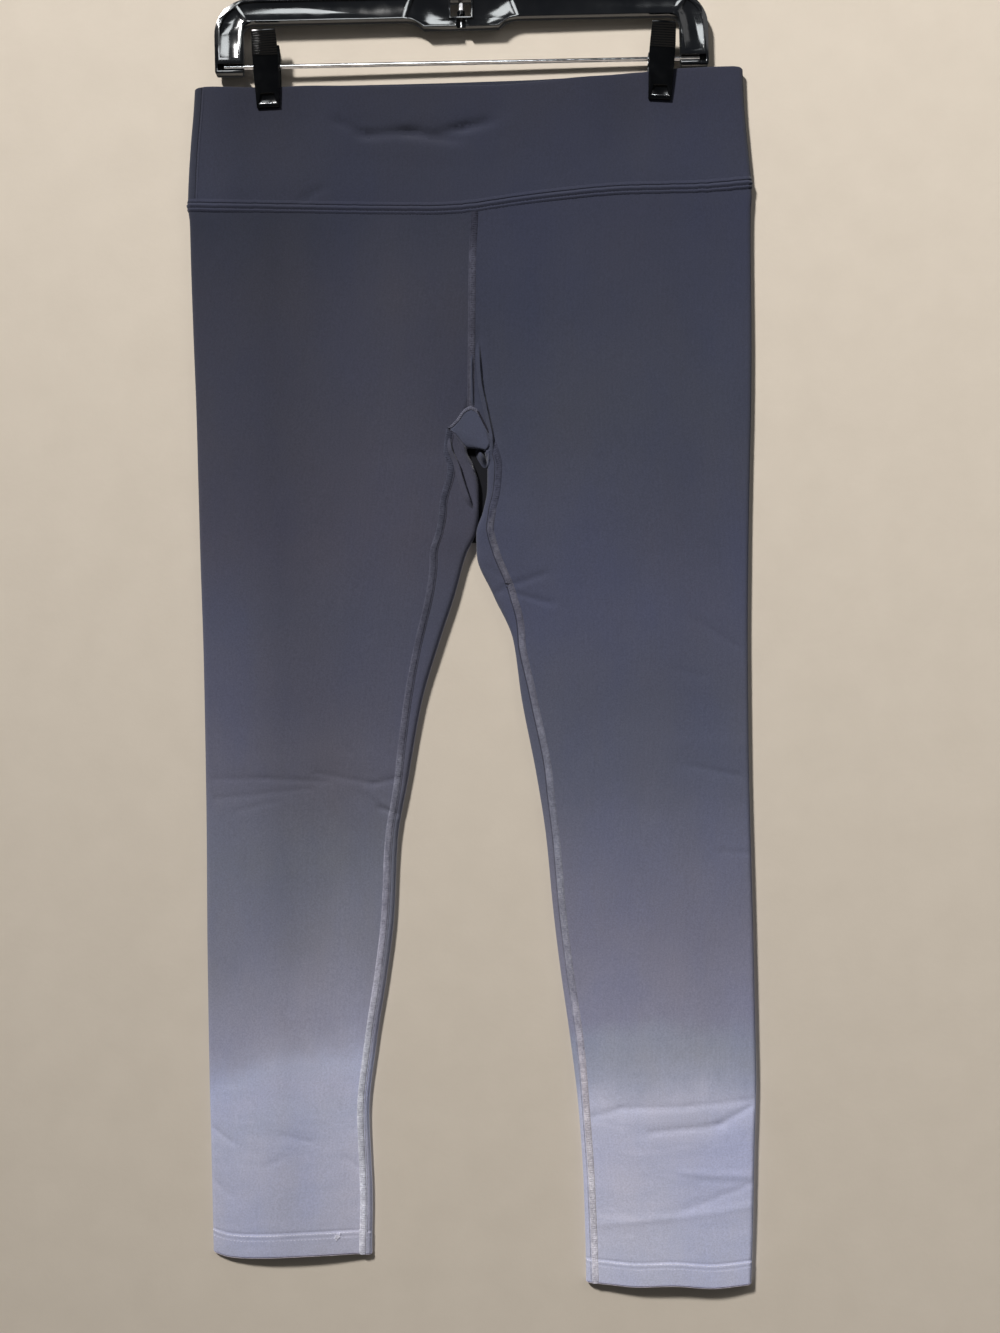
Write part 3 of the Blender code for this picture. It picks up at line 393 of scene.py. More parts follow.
def sag_share(angle):
    """Share of a ring's sag at this angle: all of it at the inner fold."""
    near = min(angle % (2 * pi), 2 * pi - angle % (2 * pi))
    return exp(-(near / SAG_SPREAD) ** 2)


def ring_drop(side, ring, angle):
    """Drop of a ring at this angle: level, but following seam and hem, and sagging inside."""
    x = leg_x(side, angle, ring.level)
    top = (waist_seam(x) - SEAM_LEVEL) * (1 - smooth(SEAM_LEVEL, SEAM_FADE, ring.level))
    hem_level = HEM_LEVEL[side]
    low = (HEM[side](x) - hem_level) * smooth(hem_level - HEM_FADE, hem_level, ring.level)
    sag = ring.front_sag if angle < pi else ring.sag
    return ring.level + top + low + sag * sag_share(angle)


def crotch_ring(side, share):
    """The ring whose ends run along the gusset, from its tips (0) to its side corner (1)."""
    level = TIP_LEVEL + (CORNER_LEVEL[side] - TIP_LEVEL) * share
    tip = leg_angle(side, TIP_WIDTH, TIP_LEVEL)
    corner = leg_angle(side, SEAM_WRAP[side](level), level)
    slit = leg_angle(side, SLIT, level) * SLIT_AT_TIP * share
    first = tip + (corner - tip) * share + slit
    last = 2 * pi - tip + (corner + tip) * share - slit
    sag = (ARCH[side](share) - level) / sag_share(last)
    return Ring(level, first, last, sag, sag * share)


def lower_ring(side, level):
    last_sag = crotch_ring(side, 1.0).sag
    wrap = SEAM_WRAP[side](level)
    first = leg_angle(side, wrap + SLIT, level)
    last = 2 * pi + leg_angle(side, wrap - SLIT, level)
    sag = last_sag * (1 - smooth(CORNER_LEVEL[side] + SAG_FADE.start, SAG_FADE.end, level))
    return Ring(level, first, last, sag, sag)


def steps_between(start, end, count):
    return [start + (end - start) * i / count for i in range(count + 1)]


def spread(start, end, step):
    return steps_between(start, end, max(1, round(abs(end - start) / step)))


Stretch = namedtuple("Stretch", "end step")
HIP_STEPS = [Stretch(199, 3.4), Stretch(TIP_LEVEL - 1.5, 1.9)]
ROW_STEPS = {                 # below the gusset; rows lie closer where the cloth is creased
    "left": [
        Stretch(345, 1.9), Stretch(480, 4.2), Stretch(560, 1.7), Stretch(735, 4.2),
        Stretch(838, 1.7), Stretch(859, 0.8),
    ],
    "right": [
        Stretch(300, 1.9), Stretch(360, 3.4), Stretch(400, 1.7), Stretch(460, 1.9),
        Stretch(484, 3), Stretch(590, 1.9), Stretch(735, 4.2), Stretch(862, 1.9),
        Stretch(884, 0.8),
    ],
}


def row_levels(level, stretches):
    """Drops of rows from this one down, without the first."""
    levels = []
    for stretch in stretches:
        levels += spread(level, stretch.end, stretch.step)[1:]
        level = stretch.end
    return levels


def leg_rings(side):
    """Every ring of a leg, from the waist seam down to the hem."""
    rings = []
    top = SEAM_LEVEL + 2 * SLIT
    for level in [top] + row_levels(top, HIP_STEPS):
        edge = leg_angle(side, SLIT, level)
        rings.append(Ring(level, edge, 2 * pi - edge, 0.0, 0.0))
    rings += [crotch_ring(side, share) for share in steps_between(0, 1, CROTCH_ROWS - 1)]
    lower = row_levels(CORNER_LEVEL[side], ROW_STEPS[side])
    return rings + [lower_ring(side, level) for level in lower]


def ring_angles(side, ring):
    """Angles along a ring: a narrow strip beside each edge, then evenly to the outer fold."""
    begin = abs(leg_x(side, ring.first, ring.level) - inner_x(side, ring.level))
    end = abs(leg_x(side, ring.last, ring.level) - inner_x(side, ring.level))
    ahead = 0.0
    if ring.level < TIP_LEVEL:
        ahead = TIP_WIDTH * smooth(TIP_LEVEL - TIP_BLEND.start, TIP_LEVEL - TIP_BLEND.end, ring.level)
    first = leg_angle(side, begin + EDGE_STRIP + ahead, ring.level)
    strip = abs(leg_angle(side, end + EDGE_STRIP, ring.level) - leg_angle(side, end, ring.level))
    shares = steps_between(0, 1, FRONT_COLUMNS - 1)
    front = [first + (pi - first) * t * (1 - CLOSER * (1 - t)) for t in shares]
    back = steps_between(pi, ring.last - strip, BACK_COLUMNS)
    return [ring.first] + front + back[1:] + [ring.last]


def round_leg(side, angle, drop):
    """How far round the leg this is from its outer fold, in mm: negative on the front."""
    inner, outer = inner_x(side, drop), OUTER_X[side](drop)
    x = leg_x(side, angle, drop)
    if angle <= pi:
        return -abs(outer - x)
    if angle <= 2 * pi:
        return abs(outer - x)
    return abs(outer - inner) + abs(x - inner)


# ---------------------------------------------------------------- mesh helpers
def new_object(name, mesh):
    made = bpy.data.objects.new(name, mesh)
    bpy.context.scene.collection.objects.link(made)
    return made


def sheet_object(name, rows, uvs, finish, wall=None, closed=False):
    """A surface through rows of points, with its own UV map in metres of cloth."""
    mesh = bpy.data.meshes.new(name)
    columns = len(rows[0])
    points = [tuple(point) for row in rows for point in row]
    across = columns if closed else columns - 1
    faces = [
        (r * columns + c, (r + 1) * columns + c,
         (r + 1) * columns + (c + 1) % columns, r * columns + (c + 1) % columns)
        for r in range(len(rows) - 1) for c in range(across)
    ]
    mesh.from_pydata(points, [], faces)
    layer = mesh.uv_layers.new(name="Cloth")
    flat = [(u * MM, v * MM) for row in uvs for u, v in row]
    corners = np.array([flat[loop.vertex_index] for loop in mesh.loops], dtype=np.float32)
    layer.data.foreach_set("uv", corners.ravel())
    mesh.materials.append(finish)
    mesh.shade_smooth()
    made = new_object(name, mesh)
    if wall:
        thick = made.modifiers.new("Layer", "SOLIDIFY")
        thick.thickness = wall
        thick.offset = -1
        thick.use_even_offset = False
        thick.use_quality_normals = True
    return made


def plain_mesh(made):
    """Apply an object's modifiers so that only a mesh is left."""
    bpy.context.view_layer.update()
    graph = bpy.context.evaluated_depsgraph_get()
    mesh = bpy.data.meshes.new_from_object(made.evaluated_get(graph))
    mesh.name = made.name
    made.modifiers.clear()
    made.data = mesh
    return made


# ---------------------------------------------------------------- materials
def linear(channel):
    value = channel / 255
    return value / 12.92 if value <= 0.04045 else ((value + 0.055) / 1.055) ** 2.4


def colour(r, g, b, gain=1.0):
    return (linear(r) * gain, linear(g) * gain, linear(b) * gain, 1.0)


def grey(value):
    return (value, value, value, 1)


Grain = namedtuple("Grain", "scale detail rough", defaults=[0.55])   # a noise, scale to the metre
Bump = namedtuple("Bump", "depth strength")                           # its depth in mm


class Shade:
    """Builds one node material step by step."""

    def __init__(self, name, roughness, **values):
        self.material = bpy.data.materials.new(name)
        self.material.use_nodes = True
        self.nodes = self.material.node_tree.nodes
        self.links = self.material.node_tree.links
        self.shader = self.nodes["Principled BSDF"]
        self.finish(Roughness=roughness, **values)

    def finish(self, **values):
        """Sets or links the shader's own sockets, such as Base_Color."""
        for key, value in values.items():
            self.feed(self.shader.inputs[key.replace("_", " ")], value)
        return self.material

    def node(self, kind, inputs=(), **settings):
        made = self.nodes.new(kind)
        for key, value in settings.items():
            setattr(made, key, value)
        for socket, value in dict(inputs).items():
            self.feed(made.inputs[socket], value)
        return made

    def feed(self, socket, value):
        if isinstance(value, bpy.types.NodeSocket):
            self.links.new(value, socket)
        else:
            socket.default_value = value

    def math(self, operation, a, b=0.0, c=0.0):
        return self.node("ShaderNodeMath", {0: a, 1: b, 2: c}, operation=operation).outputs[0]

    def place(self, kind="Object"):
        return self.node("ShaderNodeTexCoord").outputs[kind]

    def where(self, place):
        """Object x in metres, and the drop below the bar as a share of DYE_LENGTH."""
        parts = self.node("ShaderNodeSeparateXYZ", {0: place}).outputs
        drop = self.math("SUBTRACT", BAR_Z, parts["Z"])
        return parts["X"], self.math("MULTIPLY", drop, 1 / (DYE_LENGTH * MM))

    def noise(self, place, grain):
        sockets = {
            "Vector": place, "Scale": grain.scale, "Detail": grain.detail, "Roughness": grain.rough,
        }
        return self.node("ShaderNodeTexNoise", sockets).outputs["Fac"]

    def stretched(self, place, by, turn=0.0):
        """Place scaled along each axis, with a turn about Y."""
        sockets = {"Vector": place, "Rotation": (0, turn, 0), "Scale": by}
        return self.node("ShaderNodeMapping", sockets).outputs["Vector"]

    def remap(self, value, span, result=Span(0.0, 1.0), kind="LINEAR"):
        sockets = {
            "Value": value, "From Min": span.start, "From Max": span.end,
            "To Min": result.start, "To Max": result.end,
        }
        return self.node("ShaderNodeMapRange", sockets, interpolation_type=kind).outputs[0]

    def ramp(self, factor, stops):
        made = self.node("ShaderNodeValToRGB", {"Fac": factor})
        elements = made.color_ramp.elements
        while len(elements) < len(stops):
            elements.new(1.0)
        for element, (at, tone) in zip(elements, stops):
            element.position = at
            element.color = tone
        return made.outputs["Color"]

    def mix(self, factor, a, b, blend="MIX"):
        made = self.node("ShaderNodeMix", data_type="RGBA", blend_type=blend)
        for index, value in ((0, factor), (6, a), (7, b)):
            self.feed(made.inputs[index], value)
        return made.outputs[2]

    def times(self, a, b):
        return self.mix(1.0, a, b, "MULTIPLY")

    def bump(self, height, relief, normal=None):
        sockets = {"Height": height, "Distance": relief.depth * MM, "Strength": relief.strength}
        if normal:
            sockets["Normal"] = normal
        return self.node("ShaderNodeBump", sockets).outputs["Normal"]


Dye = namedtuple("Dye", "drop left right")
DYE = [                       # the dip dyed ground colour from the waist down, in sRGB
    Dye(24, (42, 45, 58), (45, 47, 62)),
    Dye(82, (51, 54, 69), (50, 53, 70)),
    Dye(111, (43, 46, 61), (50, 53, 71)),
    Dye(169, (54, 55, 68), (55, 58, 75)),
    Dye(256, (61, 62, 76), (63, 66, 81)),
    Dye(343, (70, 70, 85), (70, 73, 92)),
    Dye(400, (74, 76, 93), (78, 81, 102)),
    Dye(458, (82, 83, 100), (82, 85, 103)),
    Dye(516, (95, 95, 110), (91, 94, 112)),
    Dye(574, (114, 116, 129), (108, 110, 130)),
    Dye(632, (133, 134, 150), (125, 125, 145)),
    Dye(690, (159, 160, 183), (144, 144, 166)),
    Dye(706, (172, 174, 198), (155, 159, 179)),
    Dye(720, (191, 196, 224), (161, 165, 184)),
    Dye(735, (195, 198, 226), (174, 178, 200)),
    Dye(752, (194, 198, 224), (201, 203, 227)),
    Dye(790, (196, 198, 223), (197, 199, 225)),
    Dye(850, (196, 198, 222), (204, 206, 229)),
]
DYE_LENGTH = 900              # drops in the materials are shares of this, in mm
DYE_WANDER = 0.030            # how far the dye's level wanders, as such a share
Dome = namedtuple("Dome", "middle reach fall")
# The dye's edge falls away beside the middle of each leg: where that is, by how much, and how far.
DYE_DOME = {"left": Dome(-122, 70, 20), "right": Dome(135, 90, 5)}
DOME_LIMIT = 1.6              # it falls by no more than this many times its fall,
DOME_SPAN = Span(0.62, 0.76)  # and only from here down

Stripe = namedtuple("Stripe", "x gain")
STRIPES = {                   # gains that make the cloth lighter or darker from one side to the other
    "left": [
        Stripe(-210, 0.97), Stripe(-162, 0.92), Stripe(-140, 0.87), Stripe(-118, 0.95),
        Stripe(-96, 1.04), Stripe(-75, 1.10), Stripe(-53, 1.15), Stripe(-10, 1.12), Stripe(210, 1.0),
    ],
    "right": [
        Stripe(-210, 1.0), Stripe(-184, 1.0), Stripe(-160, 0.82), Stripe(-118, 0.82),
        Stripe(-96, 0.87), Stripe(-53, 0.89), Stripe(0, 0.94), Stripe(30, 0.97), Stripe(80, 1.0),
        Stripe(150, 1.0), Stripe(185, 1.07), Stripe(210, 1.07),
    ],
}
STRIPE_SPAN = Span(-210, 210)
STRIPE_WANDER = 0.04          # share of that span
PALE_SIDE = [                 # the outer side of the left knee is paler,
    Stripe(-200, 1.25), Stripe(-165, 1.19), Stripe(-135, 1.06), Stripe(-115, 1.0),
]
PALE_KNEE = [                 # between these drops
    (0.36, grey(0)), (0.46, grey(1)), (0.58, grey(1)), (0.68, grey(0)),
]
BLOTCHES, BLOTCH_STRETCH = Grain(26, 4), (1, 1, 0.6)
MOTTLE, MOTTLE_STRETCH = Grain(14, 5, 0.6), (1, 1, 0.45)
TINT = [(0.32, (0.93, 0.955, 1.03, 1)), (0.5, grey(1)), (0.68, (1.06, 1.03, 0.985, 1))]
STREAKS, STREAK_STRETCH = Grain(30, 3), (0.6, 1, 3.2)
STREAK = [(0.42, grey(1)), (0.6, (0.94, 0.95, 0.96, 1)), (0.7, grey(1.03))]
STREAK_TURN = radians(-28)    # slant of the faint streaks in the pale cloth
STREAK_SPAN = Span(0.76, 0.83)
FLECKS = Grain(900, 2)
FLECK = [(0.3, grey(0.9)), (0.7, grey(1.1))]
WAVE = 0.314                  # a Wave texture of this scale repeats about once in 1 m
WALE = 0.9                    # width of one column of knit loops, in mm
COURSE = 0.7                  # height of one row of them
WALE_WOBBLE = 1.4
COURSE_WOBBLE = 1.0
COURSE_SHARE = 0.45           # the rows stand out this much for each 1 of the columns
LOOP_BUMP = Bump(0.10, 0.6)
NAP, NAP_BUMP = Grain(1400, 2), Bump(0.12, 0.5)
SOFTNESS, SOFT_BUMP = Grain(120, 3), Bump(0.5, 0.35)


def stripe_stops(stripes):
    width = STRIPE_SPAN.end - STRIPE_SPAN.start
    return [((row.x - STRIPE_SPAN.start) / width, grey(row.gain)) for row in stripes]


def dyed_colour(shade, place, side, gain):
    """Dip dyed ground: it fades down the leg, is lighter or darker across it, and is faintly mottled.
    """
    x, drop = shade.where(place)
    dome = DYE_DOME[side]
    off = shade.math("DIVIDE", shade.math("SUBTRACT", x, dome.middle * MM), dome.reach * MM)
    fall = shade.math("MULTIPLY", shade.math("MULTIPLY", off, off), dome.fall / DYE_LENGTH)
    fall = shade.math("MINIMUM", fall, DOME_LIMIT * dome.fall / DYE_LENGTH)
    fall = shade.math("MULTIPLY", fall, shade.remap(drop, DOME_SPAN, kind="SMOOTHSTEP"))
    blotch = shade.noise(shade.stretched(place, BLOTCH_STRETCH), BLOTCHES)
    wander = shade.math("MULTIPLY_ADD", blotch, DYE_WANDER, -0.5 * DYE_WANDER)
    at = shade.math("ADD", shade.math("SUBTRACT", drop, fall), wander)
    ground = shade.ramp(at, [(row.drop / DYE_LENGTH, colour(*getattr(row, side), gain)) for row in DYE])

    width = (STRIPE_SPAN.end - STRIPE_SPAN.start) * MM
    across = shade.math("DIVIDE", shade.math("SUBTRACT", x, STRIPE_SPAN.start * MM), width)
    sway = shade.math("MULTIPLY_ADD", blotch, STRIPE_WANDER, -0.5 * STRIPE_WANDER)
    across = shade.math("ADD", across, sway)
    ground = shade.times(ground, shade.ramp(across, stripe_stops(STRIPES[side])))
    if side == "left":
        lit = shade.times(ground, shade.ramp(across, stripe_stops(PALE_SIDE)))
        ground = shade.mix(shade.ramp(drop, PALE_KNEE), ground, lit)

    bluish = shade.noise(shade.stretched(place, MOTTLE_STRETCH), MOTTLE)
    ground = shade.times(ground, shade.ramp(bluish, TINT))
    streak = shade.noise(shade.stretched(place, STREAK_STRETCH, STREAK_TURN), STREAKS)
    streaked = shade.times(ground, shade.ramp(streak, STREAK))
    ground = shade.mix(shade.remap(drop, STREAK_SPAN), ground, streaked)
    return shade.times(ground, shade.ramp(shade.noise(place, FLECKS), FLECK))


def knit_relief(shade, place):
    """Wales and courses of loops along the cloth, a short nap, and the cloth's own softness."""
    cloth = shade.place("UV")
    waves = {}
    for direction, width, wobble in (("X", WALE, WALE_WOBBLE), ("Y", COURSE, COURSE_WOBBLE)):
        sockets = {"Vector": cloth, "Scale": WAVE / width / MM, "Distortion": wobble, "Detail": 1.0}
        wave = shade.node("ShaderNodeTexWave", sockets, bands_direction=direction)
        waves[direction] = wave.outputs["Fac"]
    loops = shade.math("MULTIPLY_ADD", waves["Y"], COURSE_SHARE, waves["X"])
    normal = shade.bump(loops, LOOP_BUMP)
    normal = shade.bump(shade.noise(place, NAP), NAP_BUMP, normal)
    return shade.bump(shade.noise(place, SOFTNESS), SOFT_BUMP, normal)


def knit_shade(name, side, gain=1.0):
    """Brushed cotton jersey, dip dyed."""
    shade = Shade(name, 0.92, Sheen_Weight=0.22, Sheen_Roughness=0.5, Specular_IOR_Level=0.18)
    place = shade.place()
    ground = dyed_colour(shade, place, side, gain)
    return shade.finish(Base_Color=ground, Normal=knit_relief(shade, place))


BLOTS, BLOT_STRETCH = Grain(130, 2), (1, 1, 0.5)
SPECKS = Grain(520, 2)
SPECK = [(0.35, (0.82, 0.82, 0.84, 1)), (0.65, (1.15, 1.15, 1.13, 1))]
LUMPS = Grain(95, 2)
LUMP = [(0.36, (0.86, 0.86, 0.87, 1)), (0.52, grey(1)), (0.68, (1.2, 1.2, 1.19, 1))]
TWIST, TWIST_BUMP = Grain(1500, 1), Bump(0.12, 0.6)


def thread_shade(name, stops, blot=0.0):
    """Sewing thread, an overlocked seam or a thin line of painted shade beside one, paler further down
    the leg.
    """
    shade = Shade(name, 0.8, Sheen_Weight=0.05, Specular_IOR_Level=0.15)
    place = shade.place()
    drop = shade.where(place)[1]
    blotch = shade.noise(shade.stretched(place, BLOT_STRETCH), BLOTS)
    at = shade.math("ADD", drop, shade.math("MULTIPLY_ADD", blotch, blot, -0.5 * blot))
    ground = shade.ramp(at, [(level / DYE_LENGTH, colour(*tone)) for level, tone in stops])
    ground = shade.times(ground, shade.ramp(shade.noise(place, SPECKS), SPECK))
    ground = shade.times(ground, shade.ramp(shade.noise(place, LUMPS), LUMP))
    return shade.finish(Base_Color=ground, Normal=shade.bump(shade.noise(place, TWIST), TWIST_BUMP))


BLACK, BLACK_CLOUDS = ((0.005, 0.006, 0.008), (0.009, 0.010, 0.012)), Grain(40, 3)
DULLNESS, DULL_SPAN = Grain(90, 4), Span(0.35, 0.7)
DULL_GLOSS = Span(0.8, 1.5)   # the gloss varies between these shares of itself
FLOW, FLOW_STRETCH, FLOW_STRENGTH = Grain(24, 1.5), (1, 1, 2.2), 0.5
MOULD_GRAIN, MOULD_BUMP = Grain(260, 2), Bump(0.08, 0.15)
DISH_MIDDLE = 40              # the hanger's long panels are hollow about this height, in mm,
DISH_REACH = 8                # over this much above and below it
DISH_LIMIT = 1.3


def plastic_shade(name, gloss, dish, flow, depth=1.0):
    """Glossy black moulded plastic: its long panels are a little hollow and it flowed unevenly."""
    shade = Shade(name, gloss, Specular_IOR_Level=0.5 * depth)
    place = shade.place()
    tones = [tuple(depth * value for value in tone) + (1,) for tone in BLACK]
    ground = shade.ramp(shade.noise(place, BLACK_CLOUDS), [(0.3, tones[0]), (0.7, tones[1])])
    glosses = Span(DULL_GLOSS.start * gloss, DULL_GLOSS.end * gloss)
    rough = shade.remap(shade.noise(place, DULLNESS), DULL_SPAN, glosses)
    flowed = shade.noise(shade.stretched(place, FLOW_STRETCH), FLOW)
    normal = shade.bump(flowed, Bump(flow, FLOW_STRENGTH))
    if dish:
        height = shade.node("ShaderNodeSeparateXYZ", {0: place}).outputs["Z"]
        up = shade.math("SUBTRACT", height, BAR_Z + DISH_MIDDLE * MM)
        up = shade.math("DIVIDE", up, DISH_REACH * MM)
        hollow = shade.math("MINIMUM", shade.math("MULTIPLY", up, up), DISH_LIMIT)
        normal = shade.bump(hollow, Bump(dish, 1.0), normal)
    normal = shade.bump(shade.noise(place, MOULD_GRAIN), MOULD_BUMP, normal)
    return shade.finish(Base_Color=ground, Roughness=rough, Normal=normal)


WEAR, WEAR_SPAN, WORN_GLOSS = Grain(300, 4), Span(0.3, 0.7), Span(0.12, 0.28)
PLATING = [(0.3, (0.5, 0.5, 0.52, 1)), (0.7, (0.74, 0.74, 0.76, 1))]
SCRATCHES, SCRATCH_BUMP = Grain(900, 2), Bump(0.02, 0.12)


def steel_shade():
    """Bright plated wire, finely worn."""
    shade = Shade("Plated steel wire", 0.16, Metallic=1.0)
    place = shade.place()
    wear = shade.noise(place, WEAR)
    return shade.finish(
        Base_Color=shade.ramp(wear, PLATING),
        Roughness=shade.remap(wear, WEAR_SPAN, WORN_GLOSS),
        Normal=shade.bump(shade.noise(place, SCRATCHES), SCRATCH_BUMP),
    )


KNIT = {side: knit_shade(f"Dip dyed jersey {side}", side) for side in ("left", "right")}
GUSSET_KNIT = knit_shade("Dip dyed jersey gusset", "right", 1.35)
# the jersey at a tenth of its brightness: painted shade for the seat's inside, deep in the hollow
# between the legs
PAINTED_SHADE_KNIT = knit_shade("Dip dyed jersey inside", "right", 0.1)
# threads and lines of painted shade: (drop in mm, sRGB colour) from the waist down
DARK_THREAD = thread_shade(
    "Slate thread",
    [(0, (40, 41, 55)), (120, (46, 47, 62)), (150, (71, 72, 87)), (300, (74, 74, 87))],
)
INSEAM_STOPS = {
    "left": [
        (240, (58, 60, 75)), (300, (63, 65, 80)), (350, (78, 79, 94)), (425, (86, 87, 103)),
        (491, (103, 103, 119)), (540, (130, 131, 146)), (611, (151, 150, 167)),
        (670, (181, 180, 196)), (716, (200, 202, 215)), (765, (205, 207, 219)),
        (811, (218, 220, 234)), (850, (234, 234, 247)), (890, (234, 234, 247)),
    ],
    "right": [
        (240, (60, 62, 78)), (318, (64, 66, 83)), (350, (100, 100, 113)), (400, (100, 100, 116)),
        (470, (114, 115, 130)), (540, (125, 127, 143)), (609, (143, 144, 158)),
        (677, (151, 150, 167)), (720, (184, 181, 195)), (746, (202, 197, 208)),
        (822, (208, 206, 216)), (890, (219, 217, 231)),
    ],
}
INSEAM_THREAD = {
    side: thread_shade(f"Inseam overlock {side}", stops, 0.1) for side, stops in INSEAM_STOPS.items()
}
# a thin dark line on each inseam's inner side: painted shade of the groove beside the seam, fading
# towards the cloth's own tone down the leg
INSEAM_PAINTED_SHADE = thread_shade(
    "Inseam's shaded side",
    [(240, (44, 44, 54)), (380, (50, 50, 60)), (480, (62, 62, 73)), (540, (80, 80, 92)),
     (610, (102, 102, 114)), (670, (130, 130, 144)), (720, (158, 158, 174)), (800, (170, 170, 186)),
     (890, (174, 174, 190))],
    0.05,
)
GUSSET_THREAD = thread_shade("Gusset overlock", [(0, (87, 88, 103)), (300, (91, 92, 107))], 0.3)
# a near black colour: painted shade along the gusset's front right edge, under the leg's fold
GUSSET_PAINTED_SHADE = thread_shade("Gusset's shaded side", [(0, (34, 34, 44)), (300, (34, 34, 44))])
HEM_THREAD = thread_shade("Pale hem thread", [(0, (218, 218, 232)), (890, (222, 222, 236))])
HEM_RIM = thread_shade("Turned hem edge", [(0, (222, 212, 222)), (890, (226, 216, 226))])
PLASTIC = plastic_shade("Black moulded plastic", 0.1, 0.14, 1.2)
CLIP_PLASTIC = plastic_shade("Black clip plastic", 0.14, 0.0, 0.2, 0.35)
STEEL = steel_shade()


# ---------------------------------------------------------------- legs
def make_leg(side):
    rows, uvs = [], []
    for ring in leg_rings(side):
        row, marks = [], []
        for angle in ring_angles(side, ring):
            drop = ring_drop(side, ring, angle)
            row.append(leg_point(side, angle, drop))
            marks.append((round_leg(side, angle, drop), drop))
        rows.append(row if side == "right" else row[::-1])
        uvs.append(marks if side == "right" else marks[::-1])
    return sheet_object(f"leg_{side}_panel", rows, uvs, KNIT[side], JERSEY)


# ---------------------------------------------------------------- waistband
BAND_COLUMNS = 150
BAND_ROWS = 40                # up its outside; half as many down its inside
TURN_STEPS = 6                # over its top
TURN_PITCH = 0.3              # cloth used by each of these, in mm
BAND_HEM = 1.5                # its inside ends this far above its outside, in mm
BAND_TURNED = 6.0             # its side seams lie this far round from the folds, in mm
BAND_SLACK = 0.6              # it hangs less loosely than the legs
BAND_LEVEL = 50               # drop where its width is measured
BAND_LEFT, BAND_RIGHT = OUTER_X["left"](BAND_LEVEL), OUTER_X["right"](BAND_LEVEL)


def band_point(angle, drop, inset=0.0, lift=0.0):
    """A point of the waistband: 0 is its left fold, then front, right fold, back."""
    left, right = OUTER_X["left"](drop) + inset, OUTER_X["right"](drop) - inset
    x = left + (right - left) * (1 - cos(angle)) / 2
    side = "left" if x < CENTRE_X(drop) else "right"
    face = face_of(angle)
    depth = half_depth(side, x, drop, BAND_FOLD, inset)
    relief = creases(face, x, drop)
    relief += BAND_SLACK * slack(face, x, drop) * (1 - clip_hold(x, drop))
    relief *= smooth(BAND_FOLD - 1, BAND_FOLD + 1, depth + inset)
    return hung(x, face * (depth + relief + lift), drop)


def band_angle_x(angle):
    return BAND_LEFT * (1 + cos(angle)) / 2 + BAND_RIGHT * (1 - cos(angle)) / 2


def band_angle(distance):
    """The band's angle that lies this far round from its left fold, in mm."""
    return acos(1 - 2 * distance / (BAND_RIGHT - BAND_LEFT))


def band_column(angle):
    """One column of the folded over band: up the outside, over the top and down inside."""
    x = band_angle_x(angle)
    top, low = TOP[face_of(angle)](x), waist_seam(x) - SLIT
    shoulder = top + BAND_INSET / 2
    column, marks = [], []
    heights = steps_between(1, 0, BAND_ROWS)
    for height in heights[:-1]:
        drop = shoulder + (low - shoulder) * height
        column.append(band_point(angle, drop))
        marks.append((x, drop))
    for i in range(TURN_STEPS + 1):
        turn = pi * i / TURN_STEPS
        drop = top + BAND_INSET / 2 * (1 - sin(turn))
        column.append(band_point(angle, drop, BAND_INSET / 2 * (1 - cos(turn))))
        marks.append((x, top - i * TURN_PITCH))
    for height in heights[-3:0:-2]:
        drop = shoulder + (low - BAND_HEM - top) * height
        column.append(band_point(angle, drop, BAND_INSET))
        marks.append((x, top - (drop - top)))
    return column, marks


def make_band(face):
    near, far = band_angle(BAND_TURNED - SLIT), band_angle(BAND_TURNED + SLIT)
    ends = (far, pi + near) if face < 0 else (pi + far, 2 * pi + near)
    columns = [band_column(angle) for angle in steps_between(*ends, BAND_COLUMNS)]
    rows = [list(row) for row in zip(*[column for column, marks in columns])][::-1]
    uvs = [list(row) for row in zip(*[marks for column, marks in columns])][::-1]
    name, side = ("waistband_front_fold", "right") if face < 0 else ("waistband_back_fold", "left")
    return sheet_object(name, rows, uvs, KNIT[side], BAND_LAYER)


# ---------------------------------------------------------------- gusset
def gusset_seam(side, share, back):
    """A point on the seam between the gusset and one leg."""
    ring = crotch_ring(side, share)
    angle = ring.last if back else ring.first
    return leg_point(side, angle, ring_drop(side, ring, angle))


GUSSET_COLUMNS = 12
GUSSET_RISE = 3 * MM - GAP    # how far its front and back tips reach up
GUSSET_PITCH = 3              # its rows of cloth lie this far apart, in mm


def make_gusset():
    """The diamond between the legs: front tip, side corners, back tip."""
    shares = steps_between(0, 1, CROTCH_ROWS - 1)
    path = [(share, False) for share in shares] + [(share, True) for share in shares[-2::-1]]
    rows, uvs = [], []
    for number, (share, back) in enumerate(path):
        left, right = (gusset_seam(side, share, back) for side in ("left", "right"))
        across = (right - left).normalized()
        left = left + across * GUSSET_GAP
        right = right - across * GUSSET_GAP
        rise = GUSSET_RISE * max(0.0, 1 - 2 * share)
        row, marks = [], []
        for t in steps_between(0, 1, GUSSET_COLUMNS):
            point = left.lerp(right, t)
            point.z += rise * (1 - abs(2 * t - 1)) - GAP * (share == 0)
            row.append(point)
            marks.append(((right - left).length / MM * (t - 0.5), CROTCH_DROP + GUSSET_PITCH * number))
        rows.append(row)
        uvs.append(marks)
    return sheet_object("gusset_panel", rows, uvs, GUSSET_KNIT, JERSEY)


